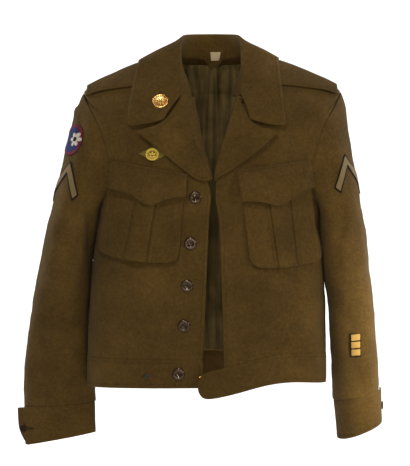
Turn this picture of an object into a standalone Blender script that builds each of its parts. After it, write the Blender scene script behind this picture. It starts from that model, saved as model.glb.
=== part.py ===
"""A waist-length wool military blouson, filled out as if worn, with nothing inside it.

Tables are in millimetres and the model in metres. +Z is up, the fronts face -Y, and the
wearer's right is at -X. The origin lies between the shoulders, where the wearer holds it up.
"""
import math
from collections import namedtuple

import bmesh
import bpy
from mathutils import Matrix, Vector
from mathutils.bvhtree import BVHTree

MM = 0.001

# Cloth thicknesses and the gaps between layers
WOOL = 2.0
DOUBLED_WOOL = 2.6
LINING_CLOTH = 1.0
PATCH_CLOTH = 1.0
SEAM_GAP = 0.4

WEARER_RIGHT = -1
WEARER_LEFT = 1
FRONT = "front"
BACK = "back"

# The torso as rings. Each ring has a point on each side, one in front and one behind,
# and is rounder where square is nearer 1. lean is how far its middle is from x = 0.
Ring = namedtuple("Ring", "side_z front_z back_z half_width front back side_y lean square")
TORSO = [
    Ring(-487, -487, -487, 197, 97, 92, 0, -9, 0.84),
    Ring(-415, -415, -415, 195, 103, 97, 0, -8, 0.84),
    Ring(-340, -340, -340, 190, 107, 100, 0, -7, 0.84),
    Ring(-285, -280, -285, 184, 109, 102, 0, -5, 0.84),
    Ring(-245, -238, -240, 183, 109, 103, 0, -4, 0.84),
    Ring(-180, -200, -185, 194, 106, 104, 1, -3, 0.84),
    Ring(-110, -164, -135, 205, 99, 103, 3, -2, 0.84),
    Ring(-50, -118, -84, 212, 91, 97, 6, 0, 0.84),
    Ring(-24, -104, -56, 168, 84, 91, 8, 0, 0.86),
    Ring(-3, -80, -25, 117, 74, 80, 9, 0, 0.90),
    Ring(12, -58, 12, 62, 58, 62, 9, 0, 1.00),
]
WAIST, CHEST, ARMPIT, SHOULDER_TIP, NECK = 0, 3, 4, 7, 10
LEFT_SHOULDER_LIFT = 2.0
WAIST_RING = TORSO[WAIST]

# How far each armhole edge lies from the side line, in degrees of its ring
Armhole = namedtuple("Armhole", "level front back")
ARMHOLE = [
    Armhole(4.00, 0.0, 0.0),
    Armhole(4.12, 17.0, 16.0),
    Armhole(4.40, 30.0, 28.0),
    Armhole(5.00, 38.5, 36.0),
    Armhole(5.60, 38.0, 35.0),
    Armhole(6.20, 35.5, 32.0),
    Armhole(6.60, 32.0, 28.0),
    Armhole(6.85, 24.0, 20.0),
    Armhole(7.00, 0.0, 0.0),
]

# The front edges: x at each height, up to where the lapel breaks, then the roll line
Edge = namedtuple("Edge", "z right left")
FRONT_EDGE = [
    Edge(-487, -15.5, 19.5),
    Edge(-400, -11.3, 16.6),
    Edge(-320, -8.2, 13.8),
    Edge(-268, -6.0, 12.0),
    Edge(-226, -4.4, 5.6),
    Edge(-196, -4.0, 4.0),
    Edge(-155, -23.0, 13.0),
    Edge(-116, -36.0, 26.0),
    Edge(-61, -49.0, 41.0),
    Edge(-25, -53.0, 47.0),
    Edge(10, -54.0, 50.0),
]

# The left front hangs lower and further out at its edge, by share of the waist's ring
Droop = namedtuple("Droop", "share lift swing")
LEFT_FRONT_DROOP = [
    Droop(0.00, -19.0, 9.0),
    Droop(0.25, -8.0, 4.0),
    Droop(0.50, 5.0, 0.0),
    Droop(0.75, 9.0, 0.0),
    Droop(1.00, 5.0, 0.0),
]
DROOP_FADES_BY = 3.2

# Soft folds in the body: a centre, a width, a height range and a depth
Fold = namedtuple("Fold", "side face angle width low high lean depth")
BODY_FOLDS = [
    Fold(WEARER_LEFT, FRONT, 52, 6.0, -0.5, 2.6, 3.0, 3.4),
    Fold(WEARER_LEFT, FRONT, 37, 5.0, -0.5, 1.3, -4.0, -2.6),
    Fold(WEARER_LEFT, FRONT, 70, 6.0, -0.5, 3.4, 2.0, -3.0),
    Fold(WEARER_RIGHT, FRONT, 58, 6.0, -0.5, 1.9, 2.0, 2.4),
    Fold(WEARER_RIGHT, FRONT, 33, 5.0, -0.5, 1.2, -5.0, -1.8),
    Fold(WEARER_RIGHT, BACK, 60, 7.0, -0.5, 2.8, -4.0, 4.0),
    Fold(WEARER_RIGHT, BACK, 38, 6.0, -0.5, 2.0, 5.0, -3.2),
    Fold(WEARER_RIGHT, BACK, 16, 6.0, -0.5, 1.5, -3.0, 3.0),
    Fold(WEARER_LEFT, BACK, 24, 6.0, -0.5, 1.8, 4.0, -3.0),
    Fold(WEARER_LEFT, BACK, 46, 6.0, -0.5, 2.4, -3.0, 3.6),
    Fold(WEARER_LEFT, BACK, 66, 6.0, -0.5, 3.0, 3.0, -3.0),
]


def smooth_between(rows, position):
    """The row of a table at a fractional index, along a curve through four neighbours."""
    last = len(rows) - 1
    position = min(max(position, 0.0), float(last))
    start = min(int(position), last - 1)
    t = position - start
    four = [rows[min(max(start + k, 0), last)] for k in (-1, 0, 1, 2)]
    weights = (
        ((2 - t) * t - 1) * t / 2,
        ((3 * t - 5) * t * t + 2) / 2,
        ((4 - 3 * t) * t + 1) * t / 2,
        (t - 1) * t * t / 2,
    )
    return type(rows[0])(*(sum(w * v for w, v in zip(weights, column)) for column in zip(*four)))


def look_up(rows, key, value):
    """The row where the named column has this value; the column rises or falls throughout."""
    keys = [getattr(row, key) for row in rows]
    falls = keys[0] > keys[-1]
    if falls:
        keys, value = [-k for k in keys], -value
    if value <= keys[0]:
        return rows[0]
    for i in range(len(keys) - 1):
        if value <= keys[i + 1]:
            return smooth_between(rows, i + (value - keys[i]) / (keys[i + 1] - keys[i]))
    return rows[-1]


def ease(t):
    """0 to 1 with a level start and end."""
    t = min(max(t, 0.0), 1.0)
    return t * t * (3 - 2 * t)


def mix(a, b, t):
    return a + (b - a) * t


def signed_power(value, power):
    return math.copysign(abs(value) ** power, value)


# The torso's skin

def droop(side, face, share, level):
    """How far the open left front hangs up and out of true, fading towards the chest."""
    if side != WEARER_LEFT or level >= DROOP_FADES_BY:
        return Droop(share, 0.0, 0.0)
    fade = 1 - ease(level / DROOP_FADES_BY)
    if face == BACK:
        return Droop(share, LEFT_FRONT_DROOP[-1].lift * ease(share) * fade, 0.0)
    row = look_up(LEFT_FRONT_DROOP, "share", share)
    return Droop(share, row.lift * fade, row.swing * fade)


def fold_depth(side, face, degrees, level):
    """Outward travel of the body's soft folds at one place."""
    total = 0.0
    for fold in BODY_FOLDS:
        if fold.side != side or fold.face != face or not fold.low <= level <= fold.high:
            continue
        rise = (level - fold.low) / (fold.high - fold.low)
        centre = fold.angle + fold.lean * rise
        across = math.exp(-(((degrees - centre) / fold.width) ** 2))
        total += fold.depth * across * (1 - ease(rise))
    return total


def torso_point(side, face, degrees, level):
    """A point on the torso's smooth skin, before folds. 0 degrees is the centre, 90 the side."""
    ring = smooth_between(TORSO, level)
    angle = math.radians(degrees)
    across = signed_power(math.sin(angle), ring.square)
    ahead = abs(math.cos(angle)) ** ring.square
    end_y, end_z = (-ring.front, ring.front_z) if face == FRONT else (ring.back, ring.back_z)
    shoulder = LEFT_SHOULDER_LIFT * side * 0.5 * ease((level - ARMPIT) / 3) * ease((NECK - level) / 3)
    hang = droop(side, face, min(across, 1.0), level)
    fall = ahead ** (1 + 0.35 * ease((level - 5) / 2))
    return Vector((
        ring.lean + side * ring.half_width * across,
        mix(ring.side_y, end_y, ahead) - hang.swing,
        mix(ring.side_z, end_z, fall) + hang.lift + shoulder * abs(across),
    ))


def skin(side, face, degrees, level, lift=0.0):
    """A point on the garment's outer face, moved out by lift along its normal."""
    step = 0.6
    here = torso_point(side, face, degrees, level)
    low, high = max(level - 0.05, WAIST), min(level + 0.05, NECK)
    around = torso_point(side, face, degrees + step, level) - torso_point(side, face, degrees - step, level)
    up = torso_point(side, face, degrees, high) - torso_point(side, face, degrees, low)
    normal = around.cross(up).normalized()
    middle = Vector((here.x * 0.3, 0, here.z - 60))
    if normal.dot(here - middle) < 0:
        normal.negate()
    return here + normal * (lift + fold_depth(side, face, degrees, level))


def ring_angle(side, level, x):
    """Degrees from the centre at which a ring of the front reaches this x."""
    ring = smooth_between(TORSO, level)
    across = side * (x - ring.lean) / ring.half_width
    return math.degrees(math.asin(min(max(signed_power(across, 1 / ring.square), -1.0), 1.0)))


def front_edge_angle(side, level):
    """Degrees at which a ring meets the front edge or the roll line."""
    degrees = 5.0
    for _ in range(6):
        z = torso_point(side, FRONT, degrees, level).z
        row = look_up(FRONT_EDGE, "z", z)
        degrees = ring_angle(side, level, row.left if side == WEARER_LEFT else row.right)
    return degrees


def armhole_angle(face, level):
    """Degrees at which a ring meets the armhole, or the side line away from it."""
    if not ARMPIT <= level <= SHOULDER_TIP:
        return 90.0
    row = look_up(ARMHOLE, "level", level)
    return 90.0 - (row.front if face == FRONT else row.back)


def surface_tree(points_by_row):
    """A tree of one fine grid of points, for casting rays and finding the nearest place."""
    columns = len(points_by_row[0])
    points = [p for row in points_by_row for p in row]
    quads = [
        (r * columns + c, r * columns + c + 1, (r + 1) * columns + c + 1, (r + 1) * columns + c)
        for r in range(len(points_by_row) - 1)
        for c in range(columns - 1)
    ]
    return BVHTree.FromPolygons(points, quads)


SKIRT = 62.0


def fine_skin():
    """The torso's skin in one tree, armholes filled, carried on down past the waistband."""
    rows = []
    for step in range(-1, 61):
        level = max(NECK * step / 60, WAIST)
        drop = Vector((0, 0, SKIRT if step < 0 else 0))
        row = []
        for side, face, run in (
            (WEARER_RIGHT, FRONT, range(0, 90, 3)),
            (WEARER_RIGHT, BACK, range(90, 0, -3)),
            (WEARER_LEFT, BACK, range(0, 90, 3)),
            (WEARER_LEFT, FRONT, range(90, -1, -3)),
        ):
            row += [skin(side, face, degrees, level) - drop for degrees in run]
        rows.append(row)
    return surface_tree(rows)


FINE_SKIN = fine_skin()


def cast(start, direction, reach, lift):
    """The first place on the skin along a ray, or the nearest to its reach, moved out by lift."""
    place, normal, _, _ = FINE_SKIN.ray_cast(Vector(start), Vector(direction))
    if place is None:
        place, normal, _, _ = FINE_SKIN.find_nearest(Vector(start) + Vector(direction) * reach)
    if normal.dot(Vector(direction)) > 0:
        normal = -normal
    return place + normal * lift


def from_front(x, z, lift=0.0):
    return cast((x, -500, z), (0, 1, 0), 440, lift)


def from_above(x, y, lift=0.0):
    return cast((x, y, 300), (0, 0, -1), 320, lift)


def clear_of_skin(point, lift):
    """The point itself, or where it is nearer than lift, a point that far out of the skin."""
    place, normal, _, _ = FINE_SKIN.find_nearest(point)
    if place.z < WAIST_RING.side_z - SKIRT + 1:
        return point
    if normal.dot(place - Vector((0, 0, place.z - 60))) < 0:
        normal = -normal
    if (point - place).dot(normal) >= lift:
        return point
    return place + normal * lift


# Making objects

def clean_scene():
    for old in list(bpy.data.objects):
        bpy.data.objects.remove(old, do_unlink=True)


def new_collection(name):
    made = bpy.data.collections.new(name)
    bpy.context.scene.collection.children.link(made)
    return made


def finish_material(name, colour, roughness, metallic=0.0):
    made = bpy.data.materials.new(name)
    made.use_nodes = True
    shader = made.node_tree.nodes["Principled BSDF"]
    shader.inputs["Base Color"].default_value = (*colour, 1.0)
    shader.inputs["Roughness"].default_value = roughness
    shader.inputs["Metallic"].default_value = metallic
    return made


def even(count):
    """count + 1 shares from 0 to 1."""
    return [i / count for i in range(count + 1)]


def cloth(name, rows, columns, place, thickness, material, closed=False):
    """A wall of cloth: a grid whose points place(column share, row share) gives, made thick inwards."""
    mesh = bmesh.new()
    grid = [[mesh.verts.new(place(c, r) * MM) for c in columns] for r in rows]
    count = len(columns)
    for r in range(len(rows) - 1):
        for c in range(count if closed else count - 1):
            n = (c + 1) % count
            mesh.faces.new((grid[r][c], grid[r][n], grid[r + 1][n], grid[r + 1][c]))
    data = bpy.data.meshes.new(name)
    mesh.to_mesh(data)
    mesh.free()
    data.materials.append(material)
    data.shade_smooth()
    made = bpy.data.objects.new(name, data)
    PARTS.objects.link(made)
    wall = made.modifiers.new("wall", "SOLIDIFY")
    wall.thickness = thickness * MM
    wall.offset = -1.0
    wall.use_even_offset = True
    return made


def turned(name, profile, place, normal, material, steps=14):
    """A turned piece such as a button: (radius, height) pairs from its top's middle outwards."""
    mesh = bmesh.new()
    ring = [mesh.verts.new((radius * MM, 0, height * MM)) for radius, height in profile]
    for a, b in zip(ring, ring[1:]):
        mesh.edges.new((a, b))
    data = bpy.data.meshes.new(name)
    mesh.to_mesh(data)
    mesh.free()
    data.materials.append(material)
    made = bpy.data.objects.new(name, data)
    PARTS.objects.link(made)
    made.matrix_world = Matrix.Translation(place * MM) @ normal.to_track_quat("Z", "Y").to_matrix().to_4x4()
    screw = made.modifiers.new("turn", "SCREW")
    screw.steps = steps
    screw.render_steps = steps
    screw.use_merge_vertices = True
    screw.merge_threshold = 0.00001
    screw.use_smooth_shade = True
    return made


clean_scene()
PARTS = new_collection("military_blouson")
WOOL_FINISH = finish_material("olive wool", (0.072, 0.045, 0.016), 0.95)
LINING_FINISH = finish_material("olive lining", (0.062, 0.045, 0.017), 0.75)
LABEL_FINISH = finish_material("woven label", (0.55, 0.45, 0.28), 0.85)
BRASS_FINISH = finish_material("gilt brass", (0.72, 0.45, 0.16), 0.3, 1.0)
BUTTON_FINISH = finish_material("dark bronze buttons", (0.07, 0.042, 0.02), 0.35, 0.6)
STEEL_FINISH = finish_material("blackened steel", (0.08, 0.08, 0.07), 0.45, 0.8)
BLUE_FINISH = finish_material("blue embroidery", (0.03, 0.05, 0.16), 0.8)
STRIPE_FINISH = finish_material("khaki rank stripe", (0.26, 0.22, 0.10), 0.85)
GOLD_FINISH = finish_material("gold embroidery", (0.62, 0.40, 0.05), 0.7)


# Body panels

def front_point(side):
    """A front's points: the column share runs from the front edge to the side or armhole."""
    def place(across, up):
        level = mix(WAIST, NECK, up)
        edge = front_edge_angle(side, level) + 1.6 * ease(level - ARMPIT) + 3.4 * ease((level - 7.5) / 1.2)
        outer = armhole_angle(FRONT, level) - rim_degrees(level, SEAM_GAP)
        return skin(side, FRONT, mix(edge, outer, across), level)
    return place


def back_point(across, up):
    """The back's points: the column share runs from the wearer's right to the left."""
    level = mix(WAIST, NECK, up)
    outer = armhole_angle(BACK, level) - rim_degrees(level, SEAM_GAP)
    side = WEARER_RIGHT if across < 0.5 else WEARER_LEFT
    return skin(side, BACK, abs(across - 0.5) * 2 * outer, level)


def rim_degrees(level, gap):
    """Half a seam's gap at the side of a ring, in degrees."""
    ring = smooth_between(TORSO, level)
    radius = min(ring.half_width, ring.front)
    return math.degrees((gap / 2 + 0.5 * (level >= SHOULDER_TIP)) / radius)


BODY_ROWS = [0, 0.1, 0.2, 0.3, 0.36, 0.4, 0.415, 0.44, 0.48, 0.52, 0.57, 0.62, 0.665, 0.685, 0.7,
             0.78, 0.88, 1.0]
FRONT_COLUMNS = [0, 0.1, 0.21, 0.33, 0.45, 0.57, 0.69, 0.8, 0.91, 1.0]


def make_body():
    cloth("front_right", BODY_ROWS, FRONT_COLUMNS[::-1], front_point(WEARER_RIGHT), WOOL, WOOL_FINISH)
    cloth("front_left", BODY_ROWS, FRONT_COLUMNS, front_point(WEARER_LEFT), WOOL, WOOL_FINISH)
    cloth("back", BODY_ROWS, even(16)[::-1], back_point, WOOL, WOOL_FINISH)


# Sleeves

# Each sleeve as level rings below the armpit: x is away from the middle of the body,
# turn is a twist about the arm, and tilt how much lower the outer side is.
Cuff = namedtuple("Cuff", "z x y half_width half_depth turn tilt")
SLEEVE_RINGS = {
    WEARER_RIGHT: [
        Cuff(-268, 230, -3, 42.5, 65, 9, 0),
        Cuff(-330, 240, 2, 45, 62, 8, 0),
        Cuff(-400, 248, 17, 50, 55, 4, 0),
        Cuff(-470, 253, 36, 58, 45, -6, 2),
        Cuff(-530, 256, 49, 62.5, 35, -9, 4),
        Cuff(-572, 255.5, 52, 62.5, 31, -9, 6),
        Cuff(-630, 254, 54, 62, 30, -9, 12),
    ],
    WEARER_LEFT: [
        Cuff(-268, 215, -5, 34.5, 66, 9, 0),
        Cuff(-330, 221.5, -6, 36.5, 65, 8, 0),
        Cuff(-400, 228, -8, 37.5, 62, 4, 0),
        Cuff(-470, 232.5, -10, 38, 57, 0, -3),
        Cuff(-530, 235, -12, 38, 52, -4, -5),
        Cuff(-549, 236, -12, 37.5, 50, -6, -8),
        Cuff(-608, 239.5, -13, 35, 49, -8, -14),
    ],
}
CAP_FULLNESS = {WEARER_RIGHT: 34.0, WEARER_LEFT: 22.0}
CAP_SPREAD = {WEARER_RIGHT: 0.20, WEARER_LEFT: 0.125}
CAP_SHARE = 0.36
SLEEVE_END_RING = 5
SLEEVE_COLUMNS = 20
SLEEVE_ROWS = [0, 0.06, 0.12, 0.19, 0.26, 0.33, 0.4, 0.48, 0.57, 0.66, 0.75, 0.84, 0.92, 1.0]
SLEEVE_SQUARE = 0.92

SleeveFold = namedtuple("SleeveFold", "side angle width low high lean depth")
SLEEVE_FOLDS = [
    SleeveFold(WEARER_RIGHT, 62, 14, 0.12, 0.78, 34, 2.6),
    SleeveFold(WEARER_RIGHT, 112, 13, 0.25, 0.75, -26, -2.8),
    SleeveFold(WEARER_RIGHT, 30, 12, 0.55, 1.10, 26, -2.2),
    SleeveFold(WEARER_RIGHT, 262, 16, 0.20, 0.85, -30, 3.0),
    SleeveFold(WEARER_RIGHT, 305, 14, 0.45, 1.05, 24, -2.4),
    SleeveFold(WEARER_LEFT, 66, 15, 0.10, 0.70, 22, 2.6),
    SleeveFold(WEARER_LEFT, 28, 12, 0.30, 0.95, 20, -2.0),
    SleeveFold(WEARER_LEFT, 118, 13, 0.50, 1.05, -24, 2.4),
    SleeveFold(WEARER_LEFT, 256, 16, 0.20, 0.85, 28, -2.8),
    SleeveFold(WEARER_LEFT, 300, 14, 0.40, 1.05, -22, 2.6),
]


def armhole_point(side, degrees):
    """A point on the armhole's edge: 0 is the shoulder, 90 the front, 180 the armpit."""
    level = mix(ARMPIT, SHOULDER_TIP, (1 + math.cos(math.radians(degrees))) / 2)
    face = FRONT if degrees <= 180 else BACK
    return skin(side, face, armhole_angle(face, level), level)


def arm_point(side, degrees, ring_index):
    """A point on the sleeve below its cap: 0 is the outer side, 90 the front, 180 the body's side."""
    ring = smooth_between(SLEEVE_RINGS[side], ring_index)
    angle = math.radians(degrees)
    out = signed_power(math.cos(angle), SLEEVE_SQUARE)
    forward = signed_power(math.sin(angle), SLEEVE_SQUARE)
    turn = math.radians(ring.turn)
    x = ring.half_width * out * math.cos(turn) - ring.half_depth * forward * math.sin(turn)
    y = -ring.half_depth * forward * math.cos(turn) - ring.half_width * out * math.sin(turn)
    return Vector((side * (ring.x + x), ring.y + y, ring.z - ring.tilt * out))


def sleeve_base(side, degrees, along):
    """A point on the sleeve's smooth form, from the armhole at 0 to the cuff's seam at 1."""
    degrees %= 360
    if along >= CAP_SHARE:
        return arm_point(side, degrees, SLEEVE_END_RING * (along - CAP_SHARE) / (1 - CAP_SHARE))
    t = along / CAP_SHARE
    outer = (1 + math.cos(math.radians(degrees))) / 2
    leaving = Vector((side, 0, -0.32)).normalized()
    start = armhole_point(side, degrees) + leaving * 1.2
    end = arm_point(side, degrees, 0)
    out_pull = leaving * mix(24, CAP_FULLNESS[side], outer)
    down_pull = Vector((side * CAP_SPREAD[side] * outer, 0, -1)) * mix(26, 235, outer)
    return (
        start * ((2 * t - 3) * t * t + 1)
        + out_pull * (((t - 2) * t + 1) * t)
        + end * ((3 - 2 * t) * t * t)
        + down_pull * ((t - 1) * t * t)
    )


def sleeve_fold_depth(side, degrees, along):
    total = 0.0
    for fold in SLEEVE_FOLDS:
        if fold.side != side or not fold.low <= along <= fold.high:
            continue
        rise = (along - fold.low) / (fold.high - fold.low)
        off = (degrees - fold.angle - fold.lean * rise + 180) % 360 - 180
        total += fold.depth * math.exp(-((off / fold.width) ** 2)) * math.sin(math.pi * rise) ** 0.8
    return total


def sleeve(side, degrees, along, lift=0.0):
    """A point on the sleeve's outer face, moved out by lift."""
    here = sleeve_base(side, degrees, along)
    around = sleeve_base(side, degrees + 3, along) - sleeve_base(side, degrees - 3, along)
    low, high = max(along - 0.01, 0.0), min(along + 0.01, 1.0)
    down = sleeve_base(side, degrees, high) - sleeve_base(side, degrees, low)
    normal = down.cross(around).normalized() * side
    clear = clear_of_skin(here + normal * sleeve_fold_depth(side, degrees, along), 1.4 * ease(along / 0.08))
    return clear + normal * lift


def round_arm(side, count):
    """Shares round an arm, in the order that turns its faces outwards."""
    shares = [i / count for i in range(count)]
    return shares if side == WEARER_LEFT else shares[::-1]


def make_sleeves():
    for side, name in ((WEARER_RIGHT, "sleeve_right"), (WEARER_LEFT, "sleeve_left")):
        def place(around, along, side=side):
            return sleeve(side, around * 360, along)
        cloth(name, SLEEVE_ROWS, round_arm(side, SLEEVE_COLUMNS), place, WOOL, WOOL_FINISH, closed=True)


def surface_of(rows, columns, place):
    """A tree of the outer face of a piece that is laid out by place(column share, row share)."""
    return surface_tree([[place(c, r) for c in columns] for r in rows])


def sleeve_surface(side):
    def place(around, along):
        return sleeve(side, around * 360, along)
    return surface_of(even(40), even(60), place)


SLEEVE_SURFACE = {side: sleeve_surface(side) for side in (WEARER_RIGHT, WEARER_LEFT)}


def on_sleeve(side, point, lift):
    """The place on a sleeve nearest to a point, moved out by lift, and the way it faces."""
    place, normal, _, _ = SLEEVE_SURFACE[side].find_nearest(point)
    axis = Vector((side * 235, 10, place.z))
    if normal.dot(place - axis) < 0:
        normal = -normal
    return place + normal * lift, normal


def sleeve_from_front(side, x, z, lift=0.0):
    place, _, _, _ = SLEEVE_SURFACE[side].ray_cast(Vector((x, -500, z)), Vector((0, 1, 0)))
    return on_sleeve(side, place or Vector((x, 0, z)), lift)


# Cuffs: a band that laps over itself. From tab_end on, the lap stands off straight to its tip,
# and below its middle it is cut back by cut degrees. A degree of it is reach millimetres long.
CuffBand = namedtuple("CuffBand", "tip under_end tab_end reach cut")
CUFF_BANDS = {
    WEARER_RIGHT: CuffBand(8, 412, 46, 0.62, 30),
    WEARER_LEFT: CuffBand(-24, 382, 14, 0.6, 12),
}
CUFF_COLUMNS = [0, 0.03, 0.08, 0.13, 0.18, 0.24, 0.32, 0.4, 0.48, 0.56, 0.64, 0.72, 0.8, 0.88, 0.94, 1.0]
CUFF_ROWS = [0, 0.25, 0.5, 0.75, 1.0]
CUFF_TOP = 5.012


def cuff_ring_point(side, degrees, ring):
    """A point on a cuff's round form, and the way out of the arm there."""
    here = arm_point(side, degrees, ring)
    return here, (here - arm_point(side, degrees + 180, ring)).normalized()


def cuff_point(side, around, down, lift=0.0):
    """A point on a cuff. The lap's pointed end is at 0 and the end beneath it at 1."""
    band = CUFF_BANDS[side]
    cut = band.cut * max(2 * down - 1, 0.0) * (1 - around) ** 8
    degrees = mix(band.tip, band.under_end, around) + cut
    ring = mix(CUFF_TOP, 6, down)
    lap = (DOUBLED_WOOL + 1.0) * (1 - ease((degrees - band.tab_end) / 45))
    if degrees >= band.tab_end:
        here, out = cuff_ring_point(side, degrees, ring)
        return here + out * (lap + lift)
    start, out = cuff_ring_point(side, band.tab_end, ring)
    along = (start - arm_point(side, band.tab_end + 4, ring)).normalized()
    face = along.cross(Vector((0, 0, 1))).normalized() * side
    return start + out * lap + along * band.reach * (band.tab_end - degrees) + face * lift


def make_cuffs():
    for side, name in ((WEARER_RIGHT, "cuff_right"), (WEARER_LEFT, "cuff_left")):
        columns = CUFF_COLUMNS if side == WEARER_LEFT else CUFF_COLUMNS[::-1]

        def place(around, down, side=side):
            return cuff_point(side, around, down)
        cloth(name, CUFF_ROWS, columns, place, DOUBLED_WOOL, WOOL_FINISH)


# Waistband

BAND_HEIGHT = 47.0
TAB_END_X = -23.0
TAB_ROUND = 15.0
BAND_ROWS = [0, 0.12, 0.3, 0.5, 0.7, 0.88, 1.0]


def band_point(side, face, degrees, down, lift=0.0):
    """A point on the waistband, which carries on below the body's waist seam."""
    edge = max(torso_point(side, face, degrees, WAIST).x * side, 0.0) / WAIST_RING.half_width
    height = BAND_HEIGHT if face == BACK else mix(BAND_HEIGHT - 3, BAND_HEIGHT, edge)
    seam = skin(side, face, degrees, WAIST, lift + 0.3)
    return seam - Vector((0, 0, SEAM_GAP + height * down))


def make_waistband():
    seam = rim_degrees(WAIST, SEAM_GAP)
    for side, name in ((WEARER_RIGHT, "waistband_right"), (WEARER_LEFT, "waistband_left")):
        def place(across, down, side=side):
            end = front_edge_angle(side, WAIST)
            if side == WEARER_LEFT:
                bulge = TAB_ROUND * (1 - math.sqrt(max(1 - (2 * down - 1) ** 2, 0.0)))
                end = ring_angle(side, WAIST, TAB_END_X + bulge)
            return band_point(side, FRONT, mix(end, 90 - seam, across), down)
        columns = even(12) if side == WEARER_RIGHT else even(14)[::-1]
        cloth(name, BAND_ROWS, columns, place, DOUBLED_WOOL, WOOL_FINISH)

    def back(across, down):
        side = WEARER_RIGHT if across < 0.5 else WEARER_LEFT
        return band_point(side, BACK, abs(across - 0.5) * 2 * (90 - seam), down)
    cloth("waistband_back", [0, 0.33, 0.66, 1.0], even(20), back, DOUBLED_WOOL, WOOL_FINISH)


# Collar: one wall from the neck seam up the stand, over the roll and down the leaf

Station = namedtuple("Station", "seam_x seam_y seam_z roll_x roll_y roll_z right_x left_x edge_y edge_z")
COLLAR = [
    Station(33, -48, -63, 48, -66, -61, -78, 61, 0, -104),
    Station(33, -46, -59, 48.5, -63, -57, -106, 87, 0, -111),
    Station(34, -42, -52, 49.5, -58, -50, -135, 117, 0, -112),
    Station(36, -38, -46, 50, -54, -45, -134, 115, 0, -92),
    Station(46, -15, -18, 52, -34, -14, -127, 111, 0, -44),
    Station(56, 8, 9, 53, -8, 24, -121, 108, -8, -4),
    Station(53, 27, 9, 51, 14, 41, -116, 106, 34, -13),
    Station(42.4, 42.4, 8, 43, 35, 47, -98, 92, 68, -22),
    Station(24, 52.6, 7, 24, 52, 49.5, -60, 56, 88, -28),
    Station(0, 55.6, 7, 0, 58, 50.5, 0, 0, 95, -29),
]
COLLAR_ROLL = 4.0
COLLAR_COLUMNS = [0, 1, 1.6, 2, 3, 3.6, 4.3, 5, 5.3, 5.5, 5.8, 6.4, 7.2, 8.1, 9]
COLLAR_ROWS = [0, 0.12, 0.24, 0.32, 0.4, 0.55, 0.7, 0.85, 1.0]
LEAF_CLEAR = DOUBLED_WOOL + 1.8
LOOP_LIFT = WOOL + 1.3
LOOP_END_LIFT = WOOL + 0.9
LOOP_CLEAR = 3.2


def leaf_clear(point):
    """How far the collar's outer face stays from the skin, more over the shoulder loops."""
    over = ease((abs(point.x) - 70) / 18) * ease((point.y + 78) / 20) * ease((46 - point.y) / 20)
    return LEAF_CLEAR + LOOP_CLEAR * over


def collar_point(around, up, lift=0.0):
    """A point on the collar. around runs from the right end at -9, over 0 at the back, to 9."""
    side = WEARER_RIGHT if around < 0 else WEARER_LEFT
    station = smooth_between(COLLAR, 9 - abs(around))
    seam = Vector((side * station.seam_x, station.seam_y, station.seam_z))
    narrow = 0.94 if side == WEARER_LEFT else 1.0
    roll = Vector((side * station.roll_x * narrow, station.roll_y, station.roll_z))
    edge_x = station.right_x if side == WEARER_RIGHT else station.left_x
    edge = Vector((edge_x, station.edge_y, station.edge_z))
    if abs(around) > 3.5:
        near = from_front(edge.x, edge.z, LEAF_CLEAR)
        edge.y = mix(edge.y, near.y, ease((abs(around) - 3.5) / 1.2))
    edge = clear_of_skin(edge, leaf_clear(edge))
    out = Vector((edge.x - roll.x, edge.y - roll.y, 0)).normalized()
    stand_top = roll - out * COLLAR_ROLL * 0.7 - Vector((0, 0, COLLAR_ROLL))
    leaf_top = roll + out * COLLAR_ROLL - Vector((0, 0, COLLAR_ROLL * 0.8))
    if up <= 0.24:
        return mix(seam, stand_top, up / 0.24)
    if up <= 0.32:
        return mix(stand_top, roll, (up - 0.24) / 0.08)
    if up <= 0.4:
        return mix(roll, leaf_top, (up - 0.32) / 0.08)
    t = (up - 0.4) / 0.6
    control = mix(leaf_top, edge, 0.4) + Vector((0, 0, 4)) + out * 3
    leaf = leaf_top * (1 - t) ** 2 + control * 2 * t * (1 - t) + edge * t * t
    return clear_of_skin(leaf, leaf_clear(leaf)) + out * lift


def make_collar():
    run = [c - 9 for c in COLLAR_COLUMNS] + [9 - c for c in COLLAR_COLUMNS[-2::-1]]
    cloth("collar", COLLAR_ROWS, run, collar_point, DOUBLED_WOOL, WOOL_FINISH)


# Lapels: the facing comes up from inside, turns over the roll line and lies on the front

LapelEdge = namedtuple("LapelEdge", "roll_z right_x right_z left_x left_z")
LAPEL_EDGE = [
    LapelEdge(-200, -7, -201, 6, -203),
    LapelEdge(-184, -22, -203, 12, -200),
    LapelEdge(-160, -48, -184, 31, -185),
    LapelEdge(-134, -78, -158, 59, -166),
    LapelEdge(-110, -99, -141, 83, -146),
    LapelEdge(-68, -118, -125, 103, -125),
]
NOTCH_DIP = {WEARER_RIGHT: 17.0, WEARER_LEFT: 22.0}
LAPEL_CLEAR = WOOL + 2.4
LAPEL_ROWS = even(10)
LAPEL_COLUMNS = [0, 0.08, 0.16, 0.24, 0.4, 0.55, 0.7, 0.85, 1.0]


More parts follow.
